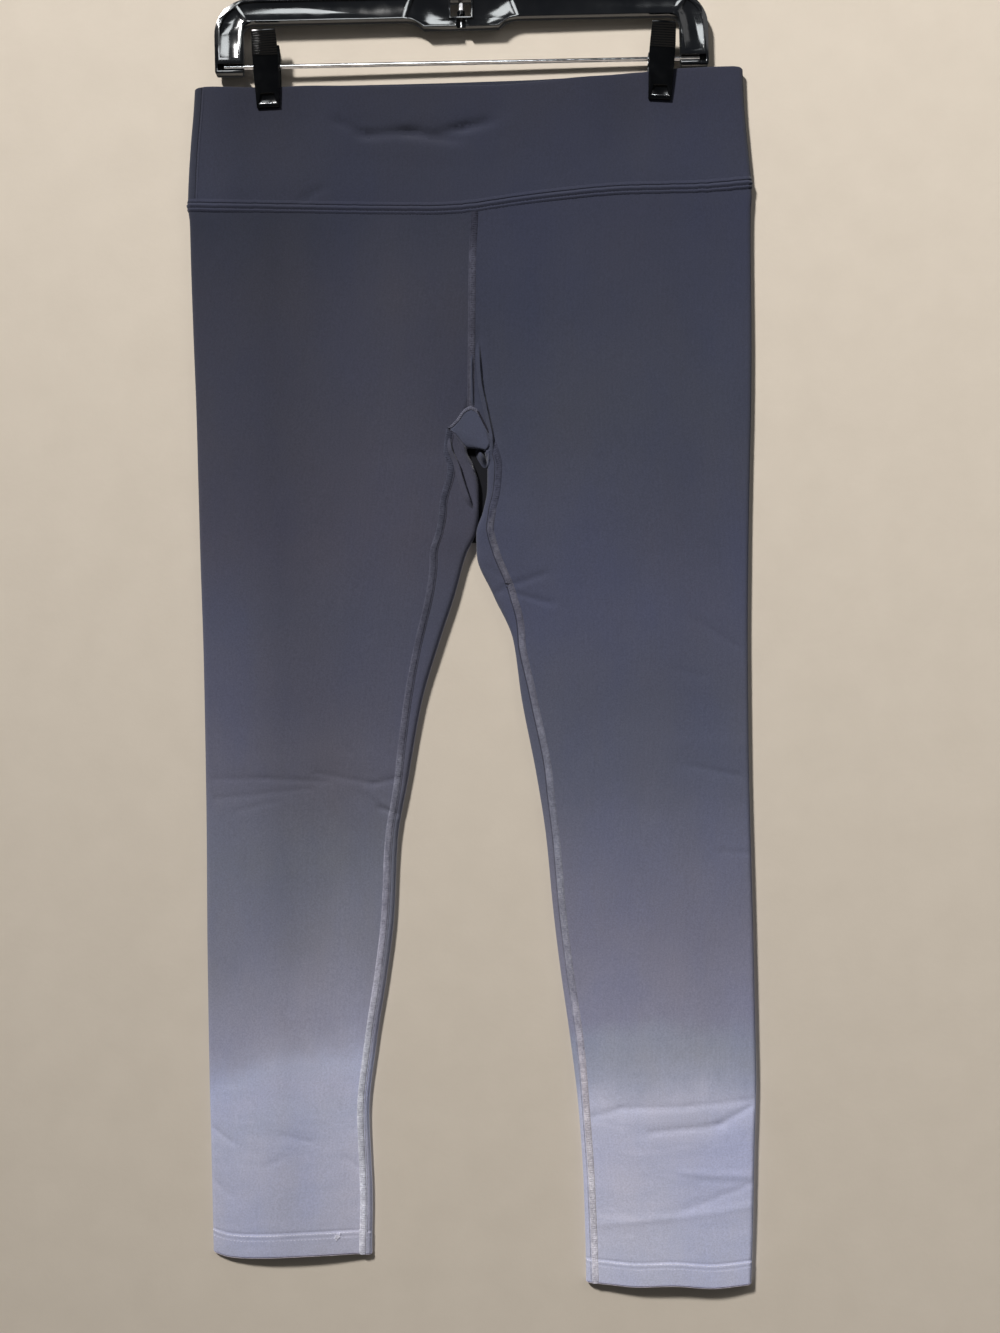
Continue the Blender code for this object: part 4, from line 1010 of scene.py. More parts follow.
# ---------------------------------------------------------------- seams
Step = namedtuple("Step", "off height")
COVERED = [                   # section of the coverstitched waist seam, in mm down and out
    Step(-5.2, -0.2), Step(-4.4, 0.04), Step(-3.3, 0.3), Step(-2.5, 0.5), Step(-2.1, 0.42),
    Step(-1.8, 0.02), Step(-1.45, 0.05), Step(-0.9, 0.55), Step(-0.25, 0.95), Step(0.45, 0.95),
    Step(1.1, 0.7), Step(1.75, 0.2), Step(2.05, 0.15), Step(2.6, 0.5), Step(3.2, 0.6),
    Step(3.8, 0.35), Step(4.25, 0.0), Step(4.8, -0.2),
]
CENTRED = [                   # section of the centre seams, with a dip on the left
    Step(-3.4, -0.2), Step(-3.0, 0.12), Step(-2.6, 0.22), Step(-2.3, 0.02), Step(-1.8, 0.12),
    Step(-1.0, 0.28), Step(0.1, 0.34), Step(1.2, 0.28), Step(1.9, 0.1), Step(2.3, -0.2),
]
SIDE_SEAM = [                 # section of the waistband's side seams
    Step(-1.5, -0.2), Step(-0.9, 0.04), Step(0.0, 0.1), Step(0.9, 0.04), Step(1.5, -0.2),
]
FLATLOCKED = [                # section of a flatlocked inseam
    Step(-2.7, -0.3), Step(-2.2, 0.15), Step(-1.6, 0.38), Step(-0.6, 0.5), Step(0.6, 0.5),
    Step(1.6, 0.38), Step(2.2, 0.15), Step(2.7, -0.3),
]
ROLLED = [                    # section of a fold over its neighbour: shares of its width and height
    Step(-1.0, -0.3), Step(-0.82, 0.0), Step(-0.6, 0.45), Step(-0.4, 0.86), Step(-0.27, 1.0),
    Step(-0.17, 0.94), Step(-0.06, 0.6), Step(0.04, 0.22), Step(0.11, -0.1), Step(0.15, -0.4),
]
# section of the thin strip of painted shade on each inseam's inner side
PAINTED_SHADE_STRIP = [Step(-3.6, -0.2), Step(-3.25, 0.08), Step(-2.85, 0.08), Step(-2.5, -0.2)]
RIM = [Step(-1.1, -0.2), Step(-0.8, 0.06), Step(-0.3, 0.1), Step(0.05, -0.1)]
CENTRE_OFF = 1.2              # the centre seams' stitching lies this far to the right, in mm
WAIST_UNEVEN = 0.35           # how far the waist seam strays up and down, in mm,
WAIST_WAVE = 5                # in waves about this long
NEXT_DOWN = 0.2               # the next point along a seam: in mm of drop,
NEXT_ROUND = 1e-3             # or in radians round the garment,
NEXT_ACROSS = 0.25            # and the next one across it, in mm
NEAREST = 0.05                # no line on the front comes nearer to the inner fold, in mm
SWELL = Span(0.25, 0.8)       # a fading roll has its full height between these shares of its length


def surface_at(point_at, a, b, step):
    """A point on the cloth, the way along from it and the way out of it."""
    here = point_at(a, b)
    along = point_at(a + step, b) - here
    across = point_at(a, b + NEXT_ACROSS) - here
    return here, along.normalized(), along.cross(across).normalized()


def seam_strip(name, point_at, path, section, flip, finish, closed=False, step=NEXT_DOWN, fade=False):
    """A raised strip of a given section along a seam on the cloth, sinking in at its ends to fade."""
    rows, uvs = [], []
    for number, at in enumerate(path):
        row, marks = [], []
        share = number / (len(path) - 1)
        swell = smooth(0, SWELL.start, share) * (1 - smooth(SWELL.end, 1, share)) if fade else 1.0
        low = section[0].height
        for rise in section:
            here, along, normal = surface_at(point_at, at, rise.off, step)
            row.append(here + normal * (flip * (low + (rise.height - low) * swell) * MM))
            marks.append((rise.off, number))
        rows.append(row)
        uvs.append(marks)
    if closed:
        rows.append(rows[0])
        uvs.append(uvs[0])
    if flip < 0:
        rows, uvs = [row[::-1] for row in rows], [row[::-1] for row in uvs]
    return sheet_object(name, rows, uvs, finish)


def on_waist(angle, off):
    """Round the waist seam: the angle is the waistband's, off is down from the seam."""
    x = band_angle_x(angle)
    uneven = WAIST_UNEVEN * noise.noise(Vector((x / WAIST_WAVE, 2.0 * face_of(angle), 0)))
    return band_point(angle, waist_seam(x) + off + uneven)


def on_inseam(side, level, off):
    """Down the inseam, off sideways from it in mm, away from the inner fold."""
    ring = lower_ring(side, level)
    angle = leg_angle(side, SEAM_WRAP[side](level) + off, level)
    return leg_point(side, angle, ring_drop(side, ring, angle))


def on_centre(face, level, off):
    """Down the centre seam, off sideways from its stitching in mm."""
    off += CENTRE_OFF
    side = "left" if off < 0 else "right"
    slant = waist_seam(CENTRE_X(level)) - SEAM_LEVEL
    drop = level + slant * (1 - smooth(SEAM_LEVEL, SEAM_FADE, level))
    angle = leg_angle(side, abs(off), drop)
    if face > 0:
        angle = 2 * pi - angle
    return leg_point(side, angle, drop)


def on_hem(side, angle, off):
    """Round a hem: the angle is the leg's, off is down from its edge in mm."""
    x = leg_x(side, angle, HEM_LEVEL[side])
    return leg_point(side, angle, HEM[side](x) + off)


def on_band_side(start, level, off):
    """Down one of the waistband's side seams, off sideways from it in mm."""
    return band_point(start + band_angle(BAND_TURNED + off), level)


def on_front(side, line, drop, off):
    """Down a line of x over drop on the front of a leg, off sideways from it in mm."""
    x, inner = line(drop) + off, inner_x(side, drop)
    distance = inner - x if side == "left" else x - inner
    return leg_point(side, leg_angle(side, max(distance, NEAREST), drop), drop)


# ---------------------------------------------------------------- stitches
STITCH_SIZES = {"Pitch": 2.4 * MM, "Length": 2.0 * MM, "Thread radius": 0.22 * MM, "Wander": 0.1}
STITCH_SEED = 11
Stitch = namedtuple("Stitch", "pitch length radius wander", defaults=[0.1])
WAIST_STITCH = Stitch(2.5, 1.9, 0.16)       # sizes in mm, and how unevenly each one lies
INSEAM_STITCH = Stitch(1.6, 4.2, 0.24)
CENTRE_STITCH = Stitch(1.6, 3.8, 0.2)
GUSSET_STITCH = Stitch(1.5, 2.4, 0.2)
HEM_STITCH = Stitch(2.4, 2.3, 0.26, 0.06)
HEM_SECOND = Stitch(2.6, 1.6, 0.15)
SIDE_STITCH = Stitch(2.2, 1.3, 0.2)
LOOSE_END = Stitch(0.7, 1.9, 0.22)


def stitch_tree():
    """Short round stitches laid at a pitch along a line, each along its own "lay" vector."""
    tree = bpy.data.node_groups.new("Stitches on a line", "GeometryNodeTree")
    interface = tree.interface
    interface.new_socket("Line", in_out="INPUT", socket_type="NodeSocketGeometry")
    for name, value in STITCH_SIZES.items():
        socket = interface.new_socket(name, in_out="INPUT", socket_type="NodeSocketFloat")
        socket.default_value = value
    interface.new_socket("Finish", in_out="INPUT", socket_type="NodeSocketMaterial")
    interface.new_socket("Stitches", in_out="OUTPUT", socket_type="NodeSocketGeometry")
    nodes, links = tree.nodes, tree.links
    given = nodes.new("NodeGroupInput")
    result = nodes.new("NodeGroupOutput")

    def node(kind, inputs=(), **settings):
        made = nodes.new(kind)
        for key, value in settings.items():
            setattr(made, key, value)
        for socket, value in dict(inputs).items():
            if isinstance(value, bpy.types.NodeSocket):
                links.new(value, made.inputs[socket])
            else:
                made.inputs[socket].default_value = value
        return made

    curve = node("GeometryNodeMeshToCurve", {"Mesh": given.outputs["Line"]})
    spacing = {"Curve": curve.outputs[0], "Length": given.outputs["Pitch"]}
    spaced = node("GeometryNodeResampleCurve", spacing, mode="LENGTH")
    dots = node("GeometryNodeCurveToPoints", {"Curve": spaced.outputs[0]}, mode="EVALUATED")
    thread = node("GeometryNodeMeshUVSphere", {"Segments": 6, "Rings": 4, "Radius": 1.0})
    half = node("ShaderNodeMath", {0: given.outputs["Length"], 1: 0.5}, operation="MULTIPLY")
    thick = given.outputs["Thread radius"]
    size = node("ShaderNodeCombineXYZ", {"X": thick, "Y": thick, "Z": half.outputs[0]})
    lay = node("GeometryNodeInputNamedAttribute", {"Name": "lay"}, data_type="FLOAT_VECTOR")
    jitter_by = {0: (-1, -1, -1), 1: (1, 1, 1), "Seed": STITCH_SEED}
    jitter = node("FunctionNodeRandomValue", jitter_by, data_type="FLOAT_VECTOR")
    scaled = {0: jitter.outputs[0], "Scale": given.outputs["Wander"]}
    wander = node("ShaderNodeVectorMath", scaled, operation="SCALE")
    leaning = node("ShaderNodeVectorMath", {0: lay.outputs[0], 1: wander.outputs[0]}, operation="ADD")
    turn = node("FunctionNodeAlignRotationToVector", {"Vector": leaning.outputs[0]}, axis="Z")
    laid = node("GeometryNodeInstanceOnPoints", {
        "Points": dots.outputs[0], "Instance": thread.outputs[0],
        "Rotation": turn.outputs[0], "Scale": size.outputs[0],
    })
    real = node("GeometryNodeRealizeInstances", {"Geometry": laid.outputs[0]})
    smoothed = node("GeometryNodeSetShadeSmooth", {"Geometry": real.outputs[0]})
    finish = {"Geometry": smoothed.outputs[0], "Material": given.outputs["Finish"]}
    links.new(node("GeometryNodeSetMaterial", finish).outputs[0], result.inputs[0])
    return tree


STITCHES = stitch_tree()


def stitched(name, lines, finish, stitch):
    """Stitches along lines of (point, lay) pairs."""
    points, lays, edges = [], [], []
    for line in lines:
        start = len(points)
        points += [tuple(point) for point, lay in line]
        lays += [tuple(lay) for point, lay in line]
        edges += [(start + i, start + i + 1) for i in range(len(line) - 1)]
    mesh = bpy.data.meshes.new(name)
    mesh.from_pydata(points, edges, [])
    attribute = mesh.attributes.new("lay", "FLOAT_VECTOR", "POINT")
    attribute.data.foreach_set("vector", np.array(lays, dtype=np.float32).ravel())
    made = new_object(name, mesh)
    modifier = made.modifiers.new("Stitches", "NODES")
    modifier.node_group = STITCHES
    values = {
        "Pitch": stitch.pitch * MM, "Length": stitch.length * MM, "Thread radius": stitch.radius * MM,
        "Wander": stitch.wander, "Finish": finish,
    }
    for item in STITCHES.interface.items_tree:
        if item.in_out == "INPUT" and item.name in values:
            modifier[item.identifier] = values[item.name]
    made = plain_mesh(made)
    for spent in [item for item in made.data.attributes if item.name == "lay"]:
        made.data.attributes.remove(spent)
    return made


def lifted_line(point_at, path, off, height, flip, across=False, lean=0.0, step=NEXT_DOWN):
    """Points above a seam with the way each stitch lies: along the seam or across it."""
    line = []
    for at in path:
        here, along, normal = surface_at(point_at, at, off, step)
        side = along.cross(normal).normalized()
        lay = (side + along * lean).normalized() if across else along
        line.append((here + normal * (flip * height * MM), lay))
    return line


KNOT_POINTS = 9
KNOT_TURN = 2.4               # radians from one point of a knot to the next
KNOT_HEIGHT = 0.35            # it lies this far off the cloth, in mm
KNOT_START, KNOT_GROWS = 0.25, 0.09   # shares of its size
KNOT_SWAY = (2.1, 1.3)        # how much faster its threads' lay turns, sideways and up,
KNOT_OUT = 0.25               # and how far it leans out


def knotted(name, here, size, finish, seed):
    """A small knot of thread ends lying on the front of the cloth."""
    line = []
    for i in range(KNOT_POINTS):
        a = KNOT_TURN * i + seed
        spot = here + Vector((cos(a), 0, sin(a))) * (size * (KNOT_START + KNOT_GROWS * i) * MM)
        spot.y -= KNOT_HEIGHT * MM
        lay = Vector((sin(KNOT_SWAY[0] * a), KNOT_OUT * cos(a), cos(KNOT_SWAY[1] * a)))
        line.append((spot, lay.normalized()))
    return stitched(name, [line], finish, LOOSE_END)


# ---------------------------------------------------------------- build the cloth
legs = {side: make_leg(side) for side in ("left", "right")}
bands = {-1: make_band(-1), 1: make_band(1)}
gusset = make_gusset()

# ---------------------------------------------------------------- seams, stitches and folds on it
NEEDLE_ROWS = [(1.9, 0.18), (4.25, 0.04)]   # off the waist seam and out from it, in mm
HEM_ROWS = [("stitches", -15.9, 0.12, HEM_STITCH), ("second_row", -12.2, 0.0, HEM_SECOND)]
SEAM_PITCH = 2.2              # rows of a seam strip lie this far apart down the leg, in mm
WAIST_STEPS = 420             # and this many lie round the waist,
HEM_STEPS = 260               # or round a hem,
HEM_START = 0.02              # from this angle
SIDE_TOPS = {"left": 17, "right": 11}       # drops where the band's side seams begin
SIDE_END = 96
HEM_KNOT = Line(-107.5, 844.6)
SEAM_KNOT_DROP = 376


def along(function, *given):
    """A seam's point function with its first values given."""
    return lambda at, off: function(*given, at, off)


trim = []                     # stitches and thread lines that lie on the cloth
folds = []                    # strips and rolls of cloth on it
ring_path = steps_between(0.0, 2 * pi, WAIST_STEPS)
waist_strip = seam_strip(
    "waist_seam_cover", on_waist, ring_path[:-1], COVERED, -1, KNIT["right"],
    closed=True, step=NEXT_ROUND,
)
needles = [
    lifted_line(on_waist, ring_path, off, height, -1, step=NEXT_ROUND) for off, height in NEEDLE_ROWS
]
trim.append(stitched("waist_seam_needle_rows", needles, DARK_THREAD, WAIST_STITCH))

inseams = {}
for side in ("left", "right"):
    flip = -1 if side == "left" else 1
    at_inseam = along(on_inseam, side)
    path = spread(CORNER_LEVEL[side] + 2, HEM_LEVEL[side] - 0.3, SEAM_PITCH)
    thread = INSEAM_THREAD[side]
    inseams[side] = seam_strip(f"inseam_{side}_overlock", at_inseam, path, FLATLOCKED, flip, thread)
    # beside each inseam, a thin strip of painted shade
    trim.append(seam_strip(f"inseam_{side}_painted_shade_line", at_inseam, path, PAINTED_SHADE_STRIP, flip, INSEAM_PAINTED_SHADE))
    ladder = lifted_line(at_inseam, path, 0.0, 0.5, flip, True, 0.12)
    trim.append(stitched(f"inseam_{side}_ladder", [ladder], thread, INSEAM_STITCH))

    at_hem = along(on_hem, side)
    round_hem = steps_between(HEM_START, 2 * pi + HEM_START, HEM_STEPS)
    for label, off, height, stitch in HEM_ROWS:
        row = lifted_line(at_hem, round_hem, off, height, flip, step=NEXT_ROUND)
        trim.append(stitched(f"hem_{side}_{label}", [row], HEM_THREAD, stitch))
    trim.append(seam_strip(f"hem_{side}_rim", at_hem, round_hem, RIM, flip, HEM_RIM, step=NEXT_ROUND))

centres = {}
for face, label, flip in ((-1, "front", 1), (1, "back", -1)):
    path = spread(SEAM_LEVEL + 4, TIP_LEVEL - 2, SEAM_PITCH)
    at_centre = along(on_centre, face)
    centres[label] = seam_strip(f"centre_{label}_flatlock", at_centre, path, CENTRED, flip, DARK_THREAD)
    ladder = lifted_line(at_centre, path, 0.1, 0.3, flip, True, 0.05)
    trim.append(stitched(f"centre_{label}_ladder", [ladder], DARK_THREAD, CENTRE_STITCH))

for start, label in ((0.0, "left"), (pi, "right")):
    at_side = along(on_band_side, start)
    path = spread(SIDE_TOPS[label], SIDE_END, 2)
    name = f"waistband_{label}_side_seam"
    folds.append(seam_strip(name, at_side, path, SIDE_SEAM, -1, KNIT["right"]))
    run = lifted_line(at_side, path, 0.4, 0.1, -1)
    trim.append(stitched(f"waistband_{label}_side_stitches", [run], DARK_THREAD, SIDE_STITCH))

hem_knot = on_front("left", lambda drop: HEM_KNOT.x, HEM_KNOT.drop, 0.0)
trim.append(knotted("hem_thread_end", hem_knot, 3.4, HEM_THREAD, 0.4))
seam_knot = on_inseam("right", SEAM_KNOT_DROP, -0.4)
trim.append(knotted("inseam_thread_end", seam_knot, 2.6, INSEAM_THREAD["right"], 1.7))


# ---------------------------------------------------------------- round the gusset
OVERLOCKED = [
    Step(-1.5, -0.35), Step(-1.1, 0.14), Step(-0.6, 0.34), Step(0.5, 0.36), Step(1.2, 0.24),
    Step(1.6, -0.3),
]
# a low raised strip beside the gusset's front right edge; its near black colour is painted shade
TUCKED = [Step(-1.2, -0.3), Step(-0.9, 0.4), Step(-0.2, 0.62), Step(0.5, 0.56), Step(0.9, -0.2)]
ROLLS = {                     # folds of cloth beside the crotch, each over the cloth to its right
    "crotch_roll_centre": (
        "right", 3.2, 1.8, [Line(3.9, 208), Line(3.5, 230), Line(3.6, 244), Line(4.2, 253)],
    ),
    "crotch_roll_right": (
        "right", 4.6, 2.7,
        [Line(8.6, 196), Line(8.9, 204), Line(10.4, 233), Line(13.8, 251), Line(17.1, 269),
         Line(17.7, 278), Line(15.9, 290)],
    ),
    "crotch_roll_left": (
        "left", 4.8, 3.0,
        [Line(-14.1, 266), Line(-12.6, 280), Line(-9.0, 289), Line(-4.9, 303.6), Line(-0.7, 316.6),
         Line(2.0, 322.4), Line(4.8, 326.5)],
    ),
    "crotch_tuck": ("right", 2.2, 0.9, [Line(11.4, 264), Line(13.6, 270), Line(16.0, 278)]),
}
SEAT_INSIDE = Span(268, 347)  # drops between which the inside of the seat shows behind the legs
SEAT_SAG = 0.4                # how far back its middle sags, in mm
SEAT_TAUT = 322               # below this drop it is drawn straight between the legs
SEAT_EDGE = 1.2               # it is caught this far round each leg's inner fold, in mm
SEAT_ROUND = 0.7              # below 1, its sag is fuller towards both sides
SEAT_PITCH = 1.2              # its rows lie this far apart, in mm
SEAT_COLUMNS = 20
SEAT_FOLD = Span(275, 295)    # a fold of it that comes forward into the light
SEAT_FOLD_SHARES = Span(0.4, 1.0)
Swell = namedtuple("Swell", "share drop width height forward")
SEAT_SWELL = Swell(0.72, 284.5, 0.17, 5.5, 5.0)
SEAT_FOLD_BEHIND = 0.5        # elsewhere the fold lies this far behind the seat, in mm
EDGE_STEP = 0.02              # share of the gusset's edge between two points that give its way
OUT_TILT = -0.2               # the gusset faces down a little
TIP_SHARES = (0.12, 0.3, 0.5, 0.7, 0.88)    # where its edging's rows lie across its front tip
TIP_BOW = 0.8                 # the tip's edge bows up by this power,
TIP_SPLAY = 0.7               # and its way in leans to the middle by this share at the ends


def gusset_edge(side, share, back):
    """A point on the gusset's seam, the way in across the gusset and the way out of it."""
    here = gusset_seam(side, share, back)
    inward = (gusset_seam("right" if side == "left" else "left", share, back) - here).normalized()
    after, before = min(share + EDGE_STEP, 1.0), max(share - EDGE_STEP, 0.0)
    ahead = gusset_seam(side, after, back) - gusset_seam(side, before, back)
    out = inward.cross(ahead).normalized()
    outside = Vector((0, 1 if back else -1, OUT_TILT))
    return here, inward, out if out.dot(outside) > 0 else -out


def gusset_top():
    """The same over the gusset's front tip, from left to right."""
    left, right = (gusset_seam(side, 0.0, False) for side in ("left", "right"))
    frames = []
    for t in TIP_SHARES:
        here = left.lerp(right, t)
        here.z += GUSSET_RISE * (1 - abs(2 * t - 1)) ** TIP_BOW
        inward = Vector((TIP_SPLAY * (1 - 2 * t), 0, -1)).normalized()
        frames.append((here, inward, Vector((0, -1, 0))))
    return frames


def edging(name, frames, section, finish):
    """A strip of a given section along frames, its first offset on the leg's side."""
    rows = [
        [here + inward * (step.off * MM) + out * (step.height * MM) for step in section]
        for here, inward, out in frames
    ]
    uvs = [[(step.off, number) for step in section] for number in range(len(frames))]
    if (rows[1][0] - rows[0][0]).cross(rows[0][-1] - rows[0][0]).dot(frames[0][2]) > 0:
        rows, uvs = [row[::-1] for row in rows], [row[::-1] for row in uvs]
    return sheet_object(name, rows, uvs, finish)


def seat_depth(share, drop):
    """How far behind the legs' inner folds the seat hangs, in mm, at this share of the way across."""
    if not 0 < share < 1:
        return 0.0
    slack_share = 1 - smooth(SEAT_TAUT, SEAT_INSIDE.end, drop)
    return SEAT_SAG * sin(pi * share) ** SEAT_ROUND * slack_share


def seat_fold_depth(share, drop):
    across = (share - SEAT_SWELL.share) / SEAT_SWELL.width
    down = (drop - SEAT_SWELL.drop) / SEAT_SWELL.height
    forward = SEAT_SWELL.forward * exp(-across ** 2 - down ** 2)
    return seat_depth(share, drop) + SEAT_FOLD_BEHIND - forward


def seat_sheet(name, finish, drops, shares, depth_at):
    """Cloth hanging between the legs' inner folds behind the crotch."""
    rows, uvs = [], []
    for drop in spread(drops.start, drops.end, SEAT_PITCH):
        left, right = (
            leg_point(side, -leg_angle(side, SEAT_EDGE, drop), drop) for side in ("left", "right")
        )
        row, marks = [], []
        for share in steps_between(shares.start, shares.end, SEAT_COLUMNS):
            row.append(left.lerp(right, share) + Vector((0, depth_at(share, drop) * MM, 0)))
            marks.append(((right - left).length / MM * share, drop))
        rows.append(row)
        uvs.append(marks)
    return sheet_object(name, rows, uvs, finish, JERSEY)


# the seat's inside is coloured near black: painted shade in the hollow between the legs
folds.append(seat_sheet("seat_inside", PAINTED_SHADE_KNIT, SEAT_INSIDE, Span(0.0, 1.0), seat_depth))
folds.append(seat_sheet("seat_fold", KNIT["right"], SEAT_FOLD, SEAT_FOLD_SHARES, seat_fold_depth))
for name, (side, width, height, points) in ROLLS.items():
    section = [Step(step.off * width, step.height * height) for step in ROLLED]
    path = spread(points[0].drop, points[-1].drop, 1.4)
    at_roll = along(on_front, side, track(points, "drop", "x"))
    folds.append(seam_strip(name, at_roll, path, section, 1, KNIT[side], fade=True))

shares = steps_between(0, 1, 12)
front_left = [gusset_edge("left", share, False) for share in reversed(shares)]
front_right = [gusset_edge("right", share, False) for share in shares]
back_left = [gusset_edge("left", share, True) for share in shares]
back_right = [gusset_edge("right", share, True) for share in shares]
edges = {
    "front": front_left[:-1] + gusset_top() + front_right[1:3],
    "back_left": back_left, "back_right": back_right,
}
# a raised strip coloured as painted shade along the gusset's front right edge
folds.append(edging("gusset_front_right_tuck", front_right, TUCKED, GUSSET_PAINTED_SHADE))
for label, frames in edges.items():
    folds.append(edging(f"gusset_{label}_overlock", frames, OVERLOCKED, GUSSET_THREAD))
    line = [(here + out * (0.38 * MM), inward) for here, inward, out in frames]
    trim.append(stitched(f"gusset_{label}_ladder", [line], GUSSET_THREAD, GUSSET_STITCH))


# ---------------------------------------------------------------- hanger and clips, in mm
HANGER_WIDTH = 356.0          # heights are above the clip bar
HANGER_DEPTH = 7.0
ARM_WIDTH = 20.0
BEAM_TOP = 48.0
BEAM_BOTTOM = 31.5
ARM_END = 5.4
CORNER = 26.0
INNER_CORNER = 8.0
PANEL_DEPTH = 0.9             # the moulded panels are sunk this far into both faces
BAR_RADIUS = 1.5
BAR_LENGTH = 344.0
EDGE_ROUND = 0.35
FOOT_ROUND = 1.2              # radius at the ends of its arms
PANEL_EDGE = 3.6              # width of the rim round an arm's panel
Corner = namedtuple("Corner", "x height")
PLATE_SHOULDER = [
    Corner(12, 64), Corner(24, 61), Corner(33, 54.2), Corner(40, 49.5), Corner(46, 48.4),
    Corner(52, 48),
]
PLATE_CHAMFER = [Corner(40, 31.3), Corner(35.5, 30.4), Corner(31.5, 28.6), Corner(27, 25)]
WINDOW = [Corner(-7.5, 32), Corner(7.5, 32), Corner(7.5, 44), Corner(-7.5, 44)]
PIN_SLOT = [Corner(-3.2, 24), Corner(3.2, 24), Corner(3.2, 31), Corner(-3.2, 31)]
PLATE_PANEL = [
    Corner(4.4, 26.1), Corner(26.4, 26.1), Corner(31.2, 29.9), Corner(35.5, 31.8), Corner(39.9, 32.5),
    Corner(34.4, 45), Corner(32.4, 52.6), Corner(22.6, 59.6), Corner(12, 62), Corner(8.7, 62),
    Corner(8.7, 30.9), Corner(4.4, 30.9),
]
BEAM_PANEL = [
    Corner(43.2, 32.5), Corner(152.9, 32.5), Corner(160.9, 43.4), Corner(156.4, 45.2),
    Corner(150, 45.8), Corner(37.8, 45.8),
]
BAR_SLOT = [Corner(157, -3.4), Corner(176.2, -3.4), Corner(176.2, 1.6), Corner(157, 1.6)]
BAR_SLOT_FLOOR = 1.9          # how deep the slots reach, towards the back, in mm
PIN_SLOT_FLOOR = -0.6
ARM_FLOOR = 5.9               # height where an arm's panel ends
ARM_INNER = 161.5             # its inner edge, and the bow that leads up from it
ARM_BOW = Corner(150, 23.5)
ARM_BOW_RADIUS = 11.5
ARM_TOP_TURN = 62             # degrees of the corner that the panel follows,
ARM_BOW_TURN = 52             # and of the bow
HANGER_SHARP = 50             # edges that turn by more degrees than this are rounded
JAW_SHARP = 55
SHADED_SHARP = radians(38)    # and these show as edges


def arc(centre, radius, start, end, count):
    angles = [radians(degree) for degree in steps_between(start, end, count)]
    return [Corner(centre[0] + radius * cos(a), centre[1] + radius * sin(a)) for a in angles]


def hanger_outline():
    """The right half of the hanger, clockwise from the top of its plate."""
    outer = HANGER_WIDTH / 2
    inner = outer - ARM_WIDTH
    foot = FOOT_ROUND - ARM_END
    half = list(PLATE_SHOULDER)
    half += arc((outer - CORNER, BEAM_TOP - CORNER), CORNER, 90, 0, 16)
    half += arc((outer - FOOT_ROUND, foot), FOOT_ROUND, 0, -90, 3)
    half += arc((inner + FOOT_ROUND, foot), FOOT_ROUND, -90, -180, 3)
    half += arc((inner - INNER_CORNER, BEAM_BOTTOM - INNER_CORNER), INNER_CORNER, 0, 90, 8)
    return half + PLATE_CHAMFER


def arm_panel():
    """The hollow on an arm's face, round its corner and down to the bar's slot."""
    outer = HANGER_WIDTH / 2
    panel = arc((outer - CORNER, BEAM_TOP - CORNER), CORNER - PANEL_EDGE, ARM_TOP_TURN, 0, 9)
    panel += [Corner(outer - PANEL_EDGE, ARM_FLOOR), Corner(ARM_INNER, ARM_FLOOR)]
    return panel + arc(ARM_BOW, ARM_BOW_RADIUS, 0, ARM_BOW_TURN, 7)


def mirrored(points):
    return [Corner(-point.x, point.height) for point in points]


def prism(work, rings):
    """Closes two like rings of corners into a solid."""
    near, far = rings
    work.faces.new(near)
    work.faces.new(far[::-1])
    for i in range(len(near)):
        j = (i + 1) % len(near)
        work.faces.new((near[i], far[i], far[j], near[j]))


def from_prisms(name, prisms):
    """An object of one or more prisms, each two rings of (x, y, z)."""
    mesh = bpy.data.meshes.new(name)
    work = bmesh.new()
    for rings in prisms:
        prism(work, [[work.verts.new(corner) for corner in ring] for ring in rings])
    bmesh.ops.recalc_face_normals(work, faces=work.faces)
    work.to_mesh(mesh)
    work.free()
    return new_object(name, mesh)


def slab(points, near, far, level=BAR_Z):
    """A flat block with this outline, from y = near to y = far in mm; heights are above level."""
    area = sum(a.x * b.height - b.x * a.height for a, b in zip(points, points[1:] + points[:1]))
    if area < 0:
        points = points[::-1]
    return [
        [(point.x * MM, y * MM, level + point.height * MM) for point in points] for y in (near, far)
    ]


def carved(made, cutter, round_by, sharpest):
    """Cuts one object out of another and rounds the edges that are left."""
    taken = made.modifiers.new("Cut", "BOOLEAN")
    taken.operation = "DIFFERENCE"
    taken.solver = "EXACT"
    taken.object = cutter
    plain_mesh(made)
    bpy.data.objects.remove(cutter)
    return rounded(made, round_by, sharpest)


def rounded(made, by, sharpest):
    eased = made.modifiers.new("Round", "BEVEL")
    eased.width = by * MM
    eased.segments = 2
    eased.limit_method = "ANGLE"
    eased.angle_limit = radians(sharpest)
    plain_mesh(made)
    made.data.shade_smooth()
    made.data.set_sharp_from_angle(angle=SHADED_SHARP)
    return made


def make_hanger():
    right = hanger_outline()
    reach = HANGER_DEPTH / 2
    body = from_prisms("hanger_moulding", [slab(right + mirrored(right)[::-1], -reach, reach)])
    cuts = [slab(WINDOW, -HANGER_DEPTH, HANGER_DEPTH), slab(PIN_SLOT, -HANGER_DEPTH, PIN_SLOT_FLOOR)]
    floor = reach - PANEL_DEPTH
    for face in (-1, 1):
        for panel in (PLATE_PANEL, BEAM_PANEL, arm_panel()):
            for points in (panel, mirrored(panel)):
                cuts.append(slab(points, *sorted((face * floor, face * HANGER_DEPTH))))
    for points in (BAR_SLOT, mirrored(BAR_SLOT)):
        cuts.append(slab(points, -HANGER_DEPTH, BAR_SLOT_FLOOR))
    body = carved(body, from_prisms("cutters", cuts), EDGE_ROUND, HANGER_SHARP)
    body.data.materials.append(PLASTIC)
    return body


ROD_EASE = 0.2                # share of a rod's radius that its ends are eased by
ROD_TIP = 0.01                # its ends close to this radius
ROD_SHARP = radians(35)


